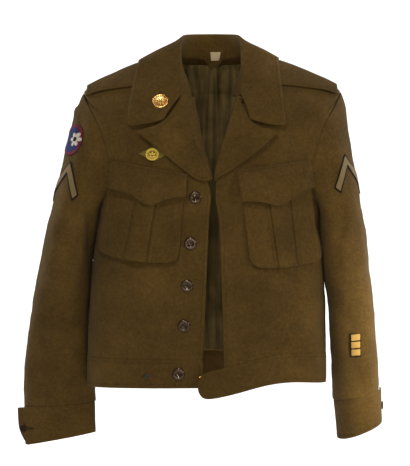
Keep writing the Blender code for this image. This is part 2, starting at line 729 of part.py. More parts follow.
def lapel_point(side, across, up, lift=0.0):
    """A point on a lapel: across runs from inside the neck, over the roll at 0.16, to the edge."""
    row = smooth_between(LAPEL_EDGE, up * (len(LAPEL_EDGE) - 1))
    hinge = look_up(FRONT_EDGE, "z", row.roll_z)
    roll_x = hinge.right if side == WEARER_RIGHT else hinge.left
    roll = from_front(roll_x, row.roll_z, mix(4.0, 8.0, ease(up * 2)))
    if across < 0.16:
        inward = 17 * up ** 0.7 + 2.5 if side == WEARER_RIGHT else 2.0
        depth = mix(7.5, 16.0, up)
        inner = roll + Vector((-side * inward, depth, -2))
        bend = roll + Vector((-side * inward * 0.4, depth * 0.35, 0))
        return mix(inner, bend, across / 0.08) if across <= 0.08 else mix(bend, roll, (across - 0.08) / 0.08)
    t = (across - 0.16) / 0.84
    x = row.right_x if side == WEARER_RIGHT else row.left_x
    z = row.right_z if side == WEARER_RIGHT else row.left_z
    dip = NOTCH_DIP[side] * up ** 4 * math.sin(math.pi * min(t / 0.9, 1.0) ** 0.85)
    flat = from_front(mix(roll_x, x, t), mix(row.roll_z, z, t) - dip, LAPEL_CLEAR)
    return mix(roll, flat, ease(t * 3.2)) if t < 0.32 else flat


def make_lapels():
    for side, name in ((WEARER_RIGHT, "lapel_right"), (WEARER_LEFT, "lapel_left")):
        columns = LAPEL_COLUMNS if side == WEARER_LEFT else LAPEL_COLUMNS[::-1]

        def place(across, up, side=side):
            return lapel_point(side, across, up)
        cloth(name, LAPEL_ROWS, columns, place, DOUBLED_WOOL - 0.6, WOOL_FINISH)


# Shoulder loops, pockets and flaps

def make_shoulder_loops():
    for side, name in ((WEARER_RIGHT, "shoulder_loop_right"), (WEARER_LEFT, "shoulder_loop_left")):
        def place(across, along, side=side):
            x = side * mix(90, 204.5, along)
            y = mix(mix(-46, -23, along), mix(14, 17, along), across)
            return from_above(x, y, mix(LOOP_LIFT, LOOP_END_LIFT, ease((along - 0.8) / 0.2)))
        columns = even(8) if side == WEARER_RIGHT else even(8)[::-1]
        cloth(name, even(6), columns, place, WOOL, WOOL_FINISH)


Corners = namedtuple("Corners", "x1 z1 x2 z2 x3 z3 x4 z4")
POCKET = {
    WEARER_RIGHT: Corners(-156, -190, -44, -212, -54, -334, -187, -318),
    WEARER_LEFT: Corners(45, -207, 153, -190, 176, -331, 61, -341),
}
FLAP = {
    WEARER_RIGHT: Corners(-157, -170, -39, -193, -42, -193, -160, -170),
    WEARER_LEFT: Corners(40, -186, 152, -169, 160, -169, 47, -186),
}
FlapDrop = namedtuple("FlapDrop", "share right left")
FLAP_DROP = [
    FlapDrop(0.00, 44, 50),
    FlapDrop(0.20, 45, 53),
    FlapDrop(0.32, 48, 57),
    FlapDrop(0.42, 57, 62),
    FlapDrop(0.52, 61, 66),
    FlapDrop(0.62, 54, 60),
    FlapDrop(0.75, 45, 52),
    FlapDrop(0.88, 39, 46),
    FlapDrop(1.00, 35, 41),
]
PLEAT_RISE = 2.2
POCKET_LIFT = 1.1 + WOOL
POCKET_COLUMNS = [0, 0.06, 0.2, 0.345, 0.375, 0.5, 0.625, 0.655, 0.8, 0.94, 1.0]
POCKET_ROWS = [0, 0.2, 0.4, 0.6, 0.78, 0.9, 0.96, 1.0]


def between_corners(corners, across, down):
    """x and z inside four corners, listed round from the top left."""
    x = mix(mix(corners.x1, corners.x2, across), mix(corners.x4, corners.x3, across), down)
    z = mix(mix(corners.z1, corners.z2, across), mix(corners.z4, corners.z3, across), down)
    return x, z


def pocket_point(side, across, down, lift=0.0):
    corners = POCKET[side]
    corner = max(down - 0.86, 0.0) / 0.14
    inset = 0.11 * (1 - math.sqrt(max(1 - corner * corner, 0.0)))
    x, z = between_corners(corners, mix(inset, 1 - inset, across), down)
    bow = 4.0 * math.sin(math.pi * across) * down ** 3
    raised = ease((across - 0.345) / 0.03) * ease((0.655 - across) / 0.03)
    return from_front(x, z - bow, POCKET_LIFT + PLEAT_RISE * raised + lift)


def flap_point(side, across, down, lift=0.0):
    corners = FLAP[side]
    row = look_up(FLAP_DROP, "share", across)
    x, z = between_corners(corners, across, down)
    drop = row.right if side == WEARER_RIGHT else row.left
    over = PLEAT_RISE + WOOL + 1.8
    return from_front(x, z - drop * down, 0.8 + WOOL + over * ease(down / 0.24) + lift)


def make_pockets():
    for side, word in ((WEARER_RIGHT, "right"), (WEARER_LEFT, "left")):
        def pocket(across, down, side=side):
            return pocket_point(side, across, down)

        def flap(across, down, side=side):
            return flap_point(side, across, down)
        cloth("pocket_" + word, POCKET_ROWS, POCKET_COLUMNS[::-1], pocket, WOOL, WOOL_FINISH)
        cloth("flap_" + word, [0, 0.15, 0.3, 0.65, 1.0], even(12)[::-1], flap, WOOL, WOOL_FINISH)


# Lining, neck patch and label

LINING_LEVELS = [0.05, 1.4, 2.8, 4.0, 5.2, 6.3, 7.2, 8.2, 9.1, 9.62]


def lining_level(up):
    """The torso's level at a share of the lining's height, straight between the listed ones."""
    position = up * (len(LINING_LEVELS) - 1)
    start = min(int(position), len(LINING_LEVELS) - 2)
    return mix(LINING_LEVELS[start], LINING_LEVELS[start + 1], position - start)


def make_lining():
    def place(across, up):
        level = lining_level(up)
        side = WEARER_RIGHT if across < 0.5 else WEARER_LEFT
        spread = abs(across - 0.5) * 2
        pleat = 2.2 * math.exp(-((spread * 82 / 4.0) ** 2)) * (1 - ease((level - 8) / 1.5))
        gather = 0.6 * math.cos(spread * 50) * (1 - ease(level / 3))
        edge = min(76.0, armhole_angle(BACK, level) - 6)
        inward = WOOL + 2.3 + 2.2 * ease(level - 5) + pleat + abs(gather)
        return skin(side, BACK, spread * edge, level, -inward)
    cloth("lining", even(9), even(18)[::-1], place, LINING_CLOTH, LINING_FINISH)


def neck_patch_point(across, up, lift=0.0):
    """A half-moon inside the back of the neck: straight along its top, round below."""
    half = 20 * math.sqrt(max(1 - (1 - up) ** 2, 0.0))
    x = 3 + (2 * across - 1) * max(half, 5)
    z = mix(-5, 25, up)
    y = mix(57.6, 52.2, ease(up * 1.6)) - (x * x) / 130 - lift
    return Vector((x, y, z))


def make_neck_patch():
    rows = [0, 0.04, 0.12, 0.25, 0.45, 0.7, 1.0]
    cloth("neck_patch", rows, even(8), neck_patch_point, PATCH_CLOTH, LINING_FINISH)

    def label(across, up):
        return neck_patch_point(mix(0.36, 0.8, across), mix(0.32, 0.8, up), 0.4 + 0.5)
    cloth("label", even(2), even(3), label, 0.5, LABEL_FINISH)


# Buttons and metal

Turn = namedtuple("Turn", "radius height")
BUTTON = [
    Turn(0, 3.1), Turn(4.2, 3.1), Turn(6.2, 3.6), Turn(8.4, 3.6),
    Turn(10, 2.3), Turn(9.2, 0.9), Turn(4, 0.4), Turn(0, 0.4),
]
SMALL_BUTTON = [Turn(0, 3.0), Turn(4.0, 3.0), Turn(5.8, 3.3), Turn(7.2, 2.2), Turn(6.6, 1.0), Turn(0, 0.7)]
STUD = [Turn(0, 2.6), Turn(3.2, 2.3), Turn(5.2, 1.4), Turn(5.4, 0.7), Turn(0, 0.6)]
DISC = [
    Turn(0, 1.6), Turn(9.6, 1.6), Turn(10.8, 2.6), Turn(12.2, 2.2),
    Turn(12.7, 1.2), Turn(12.2, 0.6), Turn(0, 0.6),
]
ButtonPlace = namedtuple("ButtonPlace", "x z")
FRONT_BUTTONS = [
    ButtonPlace(-27, -229),
    ButtonPlace(-34.5, -302),
    ButtonPlace(-40, -369),
    ButtonPlace(-45, -432.5),
]
CuffButton = namedtuple("CuffButton", "side name degrees")
CUFF_BUTTONS = [
    CuffButton(WEARER_RIGHT, "cuff_button_right", 26),
    CuffButton(WEARER_LEFT, "cuff_button_left", 4),
]


def facing_at(tree_point, step=3.0):
    """The way a surface faces, from a function of a small move across and up."""
    across = tree_point(step, 0) - tree_point(-step, 0)
    up = tree_point(0, step) - tree_point(0, -step)
    return across.cross(up).normalized()


def make_buttons():
    for number, row in enumerate(FRONT_BUTTONS, 1):
        def near(dx, dz, row=row):
            return from_front(row.x + dx, row.z + dz)
        turned("front_button_%d" % number, BUTTON, near(0, 0), facing_at(near), BUTTON_FINISH)

    def on_band(x, z):
        def near(dx, dz):
            degrees = ring_angle(WEARER_RIGHT, WAIST, x + dx)
            top = band_point(WEARER_RIGHT, FRONT, degrees, 0)
            return Vector((top.x, top.y, z + dz))
        return near(0, 0), facing_at(near)
    place, normal = on_band(-53.5, -509.5)
    turned("band_button", BUTTON, place, normal, BUTTON_FINISH)
    place, normal = on_band(-104.5, -513.6)
    turned("band_stud", STUD, place, normal, STEEL_FINISH, steps=10)

    for row in CUFF_BUTTONS:
        band = CUFF_BANDS[row.side]
        around = (row.degrees - band.tip) / (band.under_end - band.tip)
        place = cuff_point(row.side, around, 0.5)
        normal = (cuff_point(row.side, around, 0.5, 1.0) - place).normalized()
        turned(row.name, SMALL_BUTTON, place + normal * 0.2, normal, BUTTON_FINISH, steps=12)
    place = sleeve(WEARER_LEFT, -6, 0.94)
    turned("vent_button_left", SMALL_BUTTON, place, Vector((1, 0.1, 0)).normalized(), BUTTON_FINISH, steps=12)


def leaf_point(around, share):
    """A point on the collar's leaf, from its roll at 0 to its edge at 1."""
    return collar_point(around, mix(0.36, 1, share))


COLLAR_SURFACE = surface_of(even(16), [c * 0.5 - 9 for c in range(37)], leaf_point)


def on_collar(x, z):
    place, normal, _, _ = COLLAR_SURFACE.ray_cast(Vector((x, -500, z)), Vector((0, 1, 0)))
    return place, -normal if normal.y > 0 else normal


def make_hook():
    """A small wire hook on the wearer's right end of the waistband."""
    edge = torso_point(WEARER_RIGHT, FRONT, front_edge_angle(WEARER_RIGHT, WAIST), WAIST)

    def place(across, along):
        turn = math.radians(mix(-120, 120, along))
        x, z = edge.x - 3 + 4 * math.cos(turn), -519.5 + 5 * math.sin(turn)
        return Vector((x, edge.y - 1.0 - 1.2 * across, z))
    cloth("hook", even(8), [0, 1], place, 1.4, BRASS_FINISH)


# Badges and rank marks

CHEVRON_DROP = 56.0
CHEVRON_BAND = 20.0
Chevron = namedtuple("Chevron", "side name apex_z degrees")
CHEVRONS = [
    Chevron(WEARER_RIGHT, "chevron_right", -169, 36),
    Chevron(WEARER_LEFT, "chevron_left", -157, 36),
]

def make_badges():
    def on_leaf(dx, dz):
        return on_collar(-83 + dx, -75 + dz)[0]
    facing = facing_at(on_leaf, 9.0)
    turned("collar_disc", DISC, on_leaf(0, 0) + facing * 1.2, facing, BRASS_FINISH, steps=20)

    def lozenge(across, up):
        a, b = across * 2 - 1, up * 2 - 1
        return from_front(-92.5 + (a - b) * 13, -159.5 + (a + b) * 6.5, 0.4 + PATCH_CLOTH)
    cloth("lozenge_patch", even(4), even(4), lozenge, PATCH_CLOTH, BRASS_FINISH)

    centre, facing = sleeve_from_front(WEARER_RIGHT, -228, -133)
    sideways = Vector((0, 0, 1)).cross(facing).normalized()
    upward = facing.cross(sideways)

    def round_patch(around, out):
        angle = math.radians(around * 360)
        offset = (sideways * math.cos(angle) + upward * math.sin(angle)) * 27 * out
        return on_sleeve(WEARER_RIGHT, centre + offset, 0.7 + PATCH_CLOTH)[0]
    disc("sleeve_patch", [0.35, 0.7, 1.0], 20, round_patch, PATCH_CLOTH, BLUE_FINISH)

    for row in CHEVRONS:
        def chevron(across, down, row=row):
            reach = (across * 2 - 1) * mix(1, 0.8, down)
            z = row.apex_z - abs(reach) * CHEVRON_DROP - down * CHEVRON_BAND
            return sleeve_at(row.side, row.degrees + reach * 44, z, 0.9 + PATCH_CLOTH)
        columns = even(8)[::-1] if row.side == WEARER_RIGHT else even(8)
        cloth(row.name, [0, 0.5, 1.0], columns, chevron, PATCH_CLOTH, STRIPE_FINISH)

    def bars(across, up):
        x, z = mix(221, 239, across), mix(-485, -447, up)
        return sleeve_from_front(WEARER_LEFT, x, z, 0.9 + PATCH_CLOTH)[0]
    cloth("service_bars", even(3), even(3), bars, PATCH_CLOTH, GOLD_FINISH)


def sleeve_at(side, degrees, z, lift):
    """The place on a sleeve at this many degrees round it and this height."""
    low, high = 0.0, 1.0
    for _ in range(12):
        middle = (low + high) / 2
        if sleeve_base(side, degrees, middle).z > z:
            low = middle
        else:
            high = middle
    return on_sleeve(side, sleeve_base(side, degrees, low), lift)[0]


def disc(name, radii, count, place, thickness, material):
    """A round patch of cloth with a point in its middle."""
    mesh = bmesh.new()
    middle = mesh.verts.new(place(0, 0) * MM)
    rings = [[mesh.verts.new(place(i / count, radius) * MM) for i in range(count)] for radius in radii]
    for i in range(count):
        n = (i + 1) % count
        mesh.faces.new((middle, rings[0][i], rings[0][n]))
        for inner, outer in zip(rings, rings[1:]):
            mesh.faces.new((inner[i], outer[i], outer[n], inner[n]))
    data = bpy.data.meshes.new(name)
    mesh.to_mesh(data)
    mesh.free()
    data.materials.append(material)
    data.shade_smooth()
    made = bpy.data.objects.new(name, data)
    PARTS.objects.link(made)
    wall = made.modifiers.new("wall", "SOLIDIFY")
    wall.thickness = thickness * MM
    wall.offset = -1.0
    wall.use_even_offset = True
    return made


def main():
    make_body()
    make_sleeves()
    make_cuffs()
    make_waistband()
    make_collar()
    make_lapels()
    make_shoulder_loops()
    make_pockets()
    make_lining()
    make_neck_patch()
    make_buttons()
    make_hook()
    make_badges()


main()
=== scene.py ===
# %% [markdown]
# # A wool military blouson, dressed for its picture
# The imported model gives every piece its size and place. Each lesson cell takes one kind of
# piece, says what it is on the real garment, and turns the plain solid into cloth, metal or
# embroidery. The frame comes first, because nothing here may move what it holds.

# %% Load the frame
import math

import bmesh
import bpy
import numpy as np
from mathutils import Matrix, Vector
from mathutils.bvhtree import BVHTree


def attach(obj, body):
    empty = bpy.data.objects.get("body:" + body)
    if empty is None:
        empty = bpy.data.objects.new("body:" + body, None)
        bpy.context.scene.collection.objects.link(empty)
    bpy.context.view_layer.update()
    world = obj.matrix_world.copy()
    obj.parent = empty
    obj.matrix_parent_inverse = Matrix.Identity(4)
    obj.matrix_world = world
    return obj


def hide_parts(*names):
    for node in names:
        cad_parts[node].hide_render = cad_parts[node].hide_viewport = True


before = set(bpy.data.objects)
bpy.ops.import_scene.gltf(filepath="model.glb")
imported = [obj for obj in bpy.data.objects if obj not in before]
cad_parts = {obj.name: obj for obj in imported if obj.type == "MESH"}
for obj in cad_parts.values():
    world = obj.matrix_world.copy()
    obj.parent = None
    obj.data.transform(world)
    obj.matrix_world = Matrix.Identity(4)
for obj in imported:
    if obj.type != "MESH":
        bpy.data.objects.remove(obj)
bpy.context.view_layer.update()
print("pieces in the frame:", len(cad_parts))

# %% [markdown]
# The camera stands where the photographer stood: level with the middle of the blouson and
# 2.6 m in front of it. A long lens keeps the sleeves from leaning. Aiming it along +Y, with
# no shift, is the simplest way to keep upright lines upright.

# %% Camera
# The point that the picture is centred on, and how far in front of it the camera is, in metres
MIDDLE_X, MIDDLE_Z = -0.01155, -0.28545
CAMERA_AWAY = 2.6
scene = bpy.context.scene
camera = bpy.data.objects.new("camera", bpy.data.cameras.new("camera"))
scene.collection.objects.link(camera)
camera.location = (MIDDLE_X, -CAMERA_AWAY, MIDDLE_Z)
camera.rotation_euler = (math.radians(90), 0, 0)
camera.data.sensor_width = 36
camera.data.lens = 121.7
scene.camera = camera
print("lens", camera.data.lens)

# %% [markdown]
# Every finish is a small tree of shader nodes, and every piece is a mesh that is drawn in
# memory and then linked to the scene. The steps that all of them share are written once.


# %% Finish and piece helpers
class Finish:
    """A material that is built node by node round its Principled shader."""

    def __init__(self, name):
        self.material = bpy.data.materials.new(name)
        self.material.use_nodes = True
        self.tree = self.material.node_tree
        self.shader = self.tree.nodes["Principled BSDF"]
        self.place = (self.add("TexCoord"), "Object")

    def feed(self, entry, value):
        """Sets an input, or links it where the value is a (node, output) pair."""
        if isinstance(value, tuple) and isinstance(value[0], bpy.types.Node):
            self.tree.links.new(value[0].outputs[value[1]], entry)
        else:
            entry.default_value = value

    def fill(self, node, **values):
        """Fills a node's inputs, named with underscores for spaces, and its settings."""
        for key, value in values.items():
            entry = key.replace("_", " ")
            if entry in node.inputs:
                self.feed(node.inputs[entry], value)
            else:
                setattr(node, key, value)

    def add(self, kind, **values):
        node = self.tree.nodes.new("ShaderNode" + kind)
        self.fill(node, **values)
        return node

    def math(self, operation, *terms):
        made = self.add("Math", operation=operation)
        for entry, term in zip(made.inputs, terms):
            self.feed(entry, term)
        return made, "Value"

    def ramp(self, source, stops, interpolation="LINEAR"):
        """A colour ramp through (place, colour) stops."""
        made = self.add("ValToRGB", Fac=source)
        band = made.color_ramp
        band.interpolation = interpolation
        for element, (place, colour) in zip(band.elements, (stops[0], stops[-1])):
            element.position = place
            element.color = (*colour, 1)
        for place, colour in stops[1:-1]:
            band.elements.new(place).color = (*colour, 1)
        return made, "Color"

    def shaded(self, colour, shade, factor):
        """A colour multiplied by a shade, by part or in full."""
        made = self.add("Mix", data_type="RGBA", blend_type="MULTIPLY", Factor=factor, A=colour, B=shade)
        return made, "Result"

    def bump(self, height, strength, distance):
        made = self.add("Bump", Height=height, Strength=strength, Distance=distance)
        self.fill(self.shader, Normal=(made, "Normal"))


def paint(obj, material):
    obj.data.materials.clear()
    obj.data.materials.append(material)


def linked(mesh, name):
    """Ends a mesh drawn in memory and links it to the scene as a smooth object."""
    data = bpy.data.meshes.new(name)
    mesh.to_mesh(data)
    mesh.free()
    data.shade_smooth()
    made = bpy.data.objects.new(name, data)
    scene.collection.objects.link(made)
    return made


def adopt(made, material, slot_name, stands_for=None):
    """Makes an object a piece, with its finish and its body. Its slot_name is not used."""
    paint(made, material)
    if stands_for:
        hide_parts(stands_for)
    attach(made, "root")
    return made


def settle(mesh, name, *looks):
    """Makes a drawn mesh a piece."""
    bmesh.ops.recalc_face_normals(mesh, faces=mesh.faces)
    return adopt(linked(mesh, name), *looks)


def both(*parts):
    """The names of each part's right and left pieces."""
    return [part + side for part in parts for side in ("_right", "_left")]


def skin(mesh, rings, capped=True):
    """Faces from each ring of vertices to the next, and over both ends."""
    for a, b in zip(rings, rings[1:]):
        for k in range(len(a)):
            n = (k + 1) % len(a)
            mesh.faces.new((a[k], a[n], b[n], b[k]))
    if capped:
        mesh.faces.new(rings[0][::-1])
        mesh.faces.new(rings[-1])


# %% [markdown]
# A product shot has a sweep: floor and backdrop in one sheet with a soft bend, so that no
# horizon shows. A grid is bent by moving its far rows up a quarter circle.

# %% Sweep
# Lengths of the sheet, its floor and its bend, half its width and where it starts, in metres
SHEET, FLOOR, BEND, HALF_WIDTH, START = 12.0, 7.6, 1.6, 6.0, -3.2
FLOOR_HEIGHT = -0.86


def sweep_place(across, run):
    """A point of the sheet: along the floor, round the bend or up the wall."""
    turn = min(max((run - FLOOR) / BEND, 0), 1) * math.pi / 2
    y = START + min(run, FLOOR) + math.sin(turn)
    z = 1 - math.cos(turn) + max(run - FLOOR - BEND, 0)
    return across * HALF_WIDTH, y, z


grid = bmesh.new()
bmesh.ops.create_grid(grid, x_segments=2, y_segments=60, size=1.0)
for vert in grid.verts:
    vert.co = sweep_place(vert.co.x, (vert.co.y + 1) / 2 * SHEET)
sweep = linked(grid, "sweep")
sweep.location = (0, 0, FLOOR_HEIGHT)
pale = Finish("pale sweep")
pale.fill(pale.shader, Base_Color=(0.93, 0.93, 0.93, 1), Roughness=0.9)
paint(sweep, pale.material)

# %% [markdown]
# Light in the photograph falls from above the front, so that lapels, flaps and pockets throw
# thin shadows down, and the sleeve on the viewer's right is the brightest cloth. A lamp above
# the front throws the shadows and one in front softens them. A key lamp and a narrow spot
# light that sleeve, and two large lamps behind the blouson keep the backdrop white.

# %% Lights
WARM, WHITE = (1.0, 0.97, 0.93), (1, 1, 1)
SLEEVE_WARM = (1.0, 0.97, 0.92)
WORLD_STRENGTH = 0.18
# Each soft lamp: its name, place, aim, size in metres, power in watts and colour
SOFT_LAMPS = [
    ("key lamp", (1.30, -0.90, 0.10), (0.1, 0, -0.36), 0.35, 6.0, SLEEVE_WARM),
    ("top lamp", (-0.35, -1.55, 1.45), (0, 0, -0.30), 0.35, 16.5, WARM),
    ("front lamp", (-0.2, -2.8, -0.35), (-0.05, 0, -0.33), 0.6, 10.5, WARM),
    ("back lamp left", (-2.8, 1.6, 1.4), (0, 3.6, 0.2), 1.8, 150, WHITE),
    ("back lamp right", (2.8, 1.6, 1.4), (0, 3.6, 0.2), 1.8, 150, WHITE),
]


def hang_lamp(name, kind, place, aim, power, colour):
    lamp = bpy.data.lights.new(name, kind)
    lamp.energy = power
    lamp.color = colour
    made = bpy.data.objects.new(name, lamp)
    scene.collection.objects.link(made)
    made.location = place
    made.rotation_euler = (Vector(place) - Vector(aim)).to_track_quat("Z", "Y").to_euler()
    return lamp


for name, place, aim, size, power, colour in SOFT_LAMPS:
    hang_lamp(name, "AREA", place, aim, power, colour).size = size
spot = hang_lamp("sleeve lamp", "SPOT", (1.0, -1.25, -0.35), (0.47, 0, -0.45), 360, SLEEVE_WARM)
spot.spot_size = math.radians(24)
spot.spot_blend = 1.0
spot.shadow_soft_size = 0.12
world = bpy.data.worlds.new("pale studio")
world.use_nodes = True
ground = world.node_tree.nodes["Background"]
ground.inputs["Color"].default_value = (1, 1, 1, 1)
ground.inputs["Strength"].default_value = WORLD_STRENGTH
scene.world = world
scene.view_settings.view_transform = "Standard"

# %% [markdown]
# The cloth is a brushed wool serge. Seen close it has a steep twill line, woven from two
# shades of yarn, under a short nap that hides part of it. Far off only a soft mottle is left.
# Noise on the object's own coordinates gives the mottle and the nap, and a wave running up
# the diagonal gives the twill, so no unwrapping is needed.


# %% Wool
def make_wool(name, dark, mid, light, twill_scale=620.0):
    wool = Finish(name)
    broad = wool.add("TexNoise", Vector=wool.place, Scale=14.0, Detail=4.0, Roughness=0.6)
    mottle = wool.add("TexNoise", Vector=wool.place, Scale=210.0, Detail=5.0, Roughness=0.75)
    nap = wool.add("TexNoise", Vector=wool.place, Scale=1700.0, Detail=3.0, Roughness=0.8)
    turned = wool.add("Mapping", Vector=wool.place, Rotation=(0.0, math.radians(33), math.radians(28)))
    twill = wool.add("TexWave", Vector=(turned, "Vector"), Scale=twill_scale, Distortion=1.6, Detail=2.0)
    clouds = wool.math("MULTIPLY", (broad, "Fac"), 0.45)
    blend = wool.math("MULTIPLY_ADD", (mottle, "Fac"), 0.55, clouds)
    yarn = wool.math("MULTIPLY_ADD", (twill, "Fac"), 0.16, blend)
    wool.fill(wool.shader, Base_Color=wool.ramp(yarn, [(0.36, dark), (0.6, mid), (0.84, light)]),
              Roughness=0.95, Specular_IOR_Level=0.12, Sheen_Weight=0.05, Sheen_Roughness=0.6,
              Sheen_Tint=(0.9, 0.75, 0.5, 1))
    wool.bump(wool.math("ADD", (twill, "Fac"), (nap, "Fac")), 0.35, 0.0004)
    return wool.material


WOOL = make_wool("olive wool serge", (0.040, 0.0215, 0.0040), (0.080, 0.0440, 0.0086), (0.140, 0.079, 0.0180))
THREAD = make_wool("olive thread", (0.03, 0.017, 0.005), (0.045, 0.027, 0.008), (0.07, 0.043, 0.014), 900.0)
print("wool ready")

# %% [markdown]
# A sewn panel's edge is folded over, so it is round and a little thicker than the cloth.
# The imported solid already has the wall. Its triangles are joined back to four-sided faces,
# its rims get a part crease, and a subdivision surface then gives a round, smooth edge.


# %% Take cloth from the frame
def merged_copy(node_name):
    mesh = bmesh.new()
    mesh.from_mesh(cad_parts[node_name].data)
    bmesh.ops.remove_doubles(mesh, verts=mesh.verts, dist=0.00002)
    bmesh.ops.join_triangles(
        mesh, faces=mesh.faces, cmp_seam=False, cmp_sharp=False, cmp_uvs=False, cmp_vcols=False,
        cmp_materials=False, angle_face_threshold=math.radians(38), angle_shape_threshold=math.radians(70))
    return mesh


def sharp_edges(mesh, angle=48):
    return [e for e in mesh.edges if len(e.link_faces) == 2 and e.calc_face_angle(0) > math.radians(angle)]


def rim_ways(mesh, sharp):
    """Each rim vertex with the way out of its panel, along the cloth."""
    sharp = set(sharp)
    ways = {}
    for face in mesh.faces:
        short = min(e.calc_length() for e in face.edges)
        if short > 0.004 or sum(e in sharp for e in face.edges) < 2:
            continue
        for vert in face.verts:
            known = ways.setdefault(vert, [])
            if all(face.normal.dot(other) < 0.7 for other in known):
                known.append(face.normal.copy())
    return {vert: sum(found, Vector()) for vert, found in ways.items()}


def crease_rims(mesh, amount, grow):
    """Part-creases the rims and lets the panel out by grow, so that its seams close."""
    layer = mesh.edges.layers.float.get("crease_edge") or mesh.edges.layers.float.new("crease_edge")
    sharp = sharp_edges(mesh)
    for edge in sharp:
        edge[layer] = amount
    for vert, way in rim_ways(mesh, sharp).items():
        vert.co += way * grow


def bake(obj):
    """Replaces an object's mesh by the one that its modifiers make."""
    depsgraph = bpy.context.evaluated_depsgraph_get()
    finished = bpy.data.meshes.new_from_object(obj.evaluated_get(depsgraph))
    obj.modifiers.clear()
    obj.data = finished
    obj.data.shade_smooth()


def dress(node_name, levels, crease, material, slot_name, travel=None, grow=0.0005):
    """A fine copy of a node's cloth, with its folds, standing for that node."""
    mesh = merged_copy(node_name)
    crease_rims(mesh, crease, grow)
    made = linked(mesh, node_name + "_cloth")
    smooth = made.modifiers.new("smooth", "SUBSURF")
    smooth.levels = levels
    smooth.render_levels = levels
    bake(made)
    if travel:
        move_by(made.data, travel)
    return adopt(made, material, slot_name, node_name)


def points_of(data):
    flat = np.empty(len(data.vertices) * 3)
    data.vertices.foreach_get("co", flat)
    return flat.reshape(-1, 3)


def move_by(data, travel):
    points = points_of(data)
    points += travel(points)
    data.vertices.foreach_set("co", points.ravel())
    data.update()


# %% [markdown]
# Worn wool keeps soft folds: drag lines from the armpits, a little fullness above the
# waistband, and long creases down each sleeve. They are written as one field of small moves
# in space. Every layer that lies at one place gets the same move, so a pocket and the front
# beneath it stay together, and both sides of a wall move as one.

# %% Folds
# Each crease: x and z in millimetres at its start and end, its width and its depth
FRONT_CREASES = np.array([
    (-168, -262, -120, -380, 11, 1.8), (-182, -300, -150, -470, 10, -2.0), (-118, -400, -104, -486, 9, 2.4),
    (-78, -380, -70, -486, 8, -1.8), (-52, -330, -58, -480, 9, 1.5), (-150, -420, -158, -486, 8, 2.2),
    (-176, -90, -128, -170, 11, -1.8), (-178, -150, -150, -210, 9, 1.4), (-110, -60, -120, -150, 14, 1.2),
    (172, -262, 130, -380, 11, -2.2), (178, -300, 160, -470, 10, 2.4), (128, -390, 118, -486, 10, -2.6),
    (92, -350, 84, -480, 9, 2.2), (50, -330, 56, -490, 9, -1.6), (160, -90, 118, -165, 12, -2.2),
    (172, -140, 140, -215, 9, 2.0), (120, -50, 112, -160, 13, 1.4), (36, -215, 30, -330, 10, -1.6),
])
BACK_CREASES = np.array([
    (-150, -210, -60, -300, 14, -2.4), (150, -210, 62, -305, 14, -2.4), (-165, -260, -90, -380, 12, 2.2),
    (165, -260, 92, -384, 12, 2.4), (-120, -390, -110, -486, 11, 3.0), (-60, -370, -66, -486, 11, -2.6),
    (0, -380, 6, -486, 12, 2.6), (62, -372, 58, -486, 11, -2.6), (124, -384, 118, -486, 11, 3.0),
    (-90, -60, -60, -170, 16, 1.6), (90, -60, 64, -170, 16, 1.6),
])
RIGHT_SLEEVE_CREASES = np.array([
    (-209, -104, -197, -336, 6, -7.5), (-220, -96, -209, -340, 7, 3.2), (-212, -262, -232, -372, 8, -2.6),
    (-262, -270, -236, -352, 9, 2.4), (-286, -340, -242, -402, 9, -2.4), (-230, -372, -258, -452, 9, 2.2),
    (-290, -420, -252, -470, 9, 2.0), (-226, -452, -262, -520, 8, -2.2), (-280, -500, -270, -566, 8, 1.8),
    (-240, -500, -236, -566, 8, 1.8), (-250, -180, -262, -300, 10, -1.6),
])
LEFT_SLEEVE_CREASES = np.array([
    (214, -82, 196, -190, 8, 2.8), (228, -92, 214, -232, 8, -2.6), (200, -196, 206, -300, 8, -2.2),
    (236, -200, 240, -330, 10, 2.2), (222, -262, 214, -352, 9, 2.0), (258, -330, 222, -402, 9, -2.2),
    (206, -372, 240, -440, 9, 2.0), (262, -420, 230, -478, 9, 2.0), (214, -470, 244, -528, 8, -2.0),
    (250, -480, 256, -540, 8, 1.8),
])


def smoothstep(value):
    value = np.clip(value, 0, 1)
    return value * value * (3 - 2 * value)


def crease_depth(x, z, table):
    """Summed depth of a table of creases at points of the x, z plane, in millimetres."""
    total = np.zeros_like(x)
    for x0, z0, x1, z1, width, depth in table:
        dx, dz = x1 - x0, z1 - z0
        length = math.hypot(dx, dz)
        along = ((x - x0) * dx + (z - z0) * dz) / length**2
        off = ((x - x0) * dz - (z - z0) * dx) / length + 3.0 * np.sin(along * 5.0 + x0)
        taper = smoothstep(along * 3 + 0.6) * smoothstep((1 - along) * 2.2 + 0.5)
        total += depth * np.exp(-((off / width) ** 2)) * taper
    return total


def unrest(x, y, z, scale, seed):
    """Slow, even waviness, as no hanging cloth is quite smooth."""
    return (
        np.sin(x * scale + 1.7 * seed + 0.9 * np.sin(z * scale * 0.7 + seed))
        * np.sin(z * scale * 1.13 - 0.6 * seed + 1.1 * np.sin(y * scale * 0.9 + 2 * seed))
        + 0.6 * np.sin((x + z) * scale * 1.9 + seed) * np.sin((y - z) * scale * 1.6 - seed)
    )


def beside_body(z):
    """Where the sleeves hang against the body and press on it."""
    return smoothstep((-188 - z) / 26) * smoothstep((z + 440) / 110)


def pushed(depth, ox, oy):
    """Moves away from an upright axis, by depth, where ox and oy are the way from it."""
    length = np.hypot(ox, oy) + 1e-6
    return np.stack([ox / length, oy / length, np.zeros_like(ox)], axis=1) * depth[:, None]


# Where the two front edges meet, in millimetres
FRONT_X = 3.5


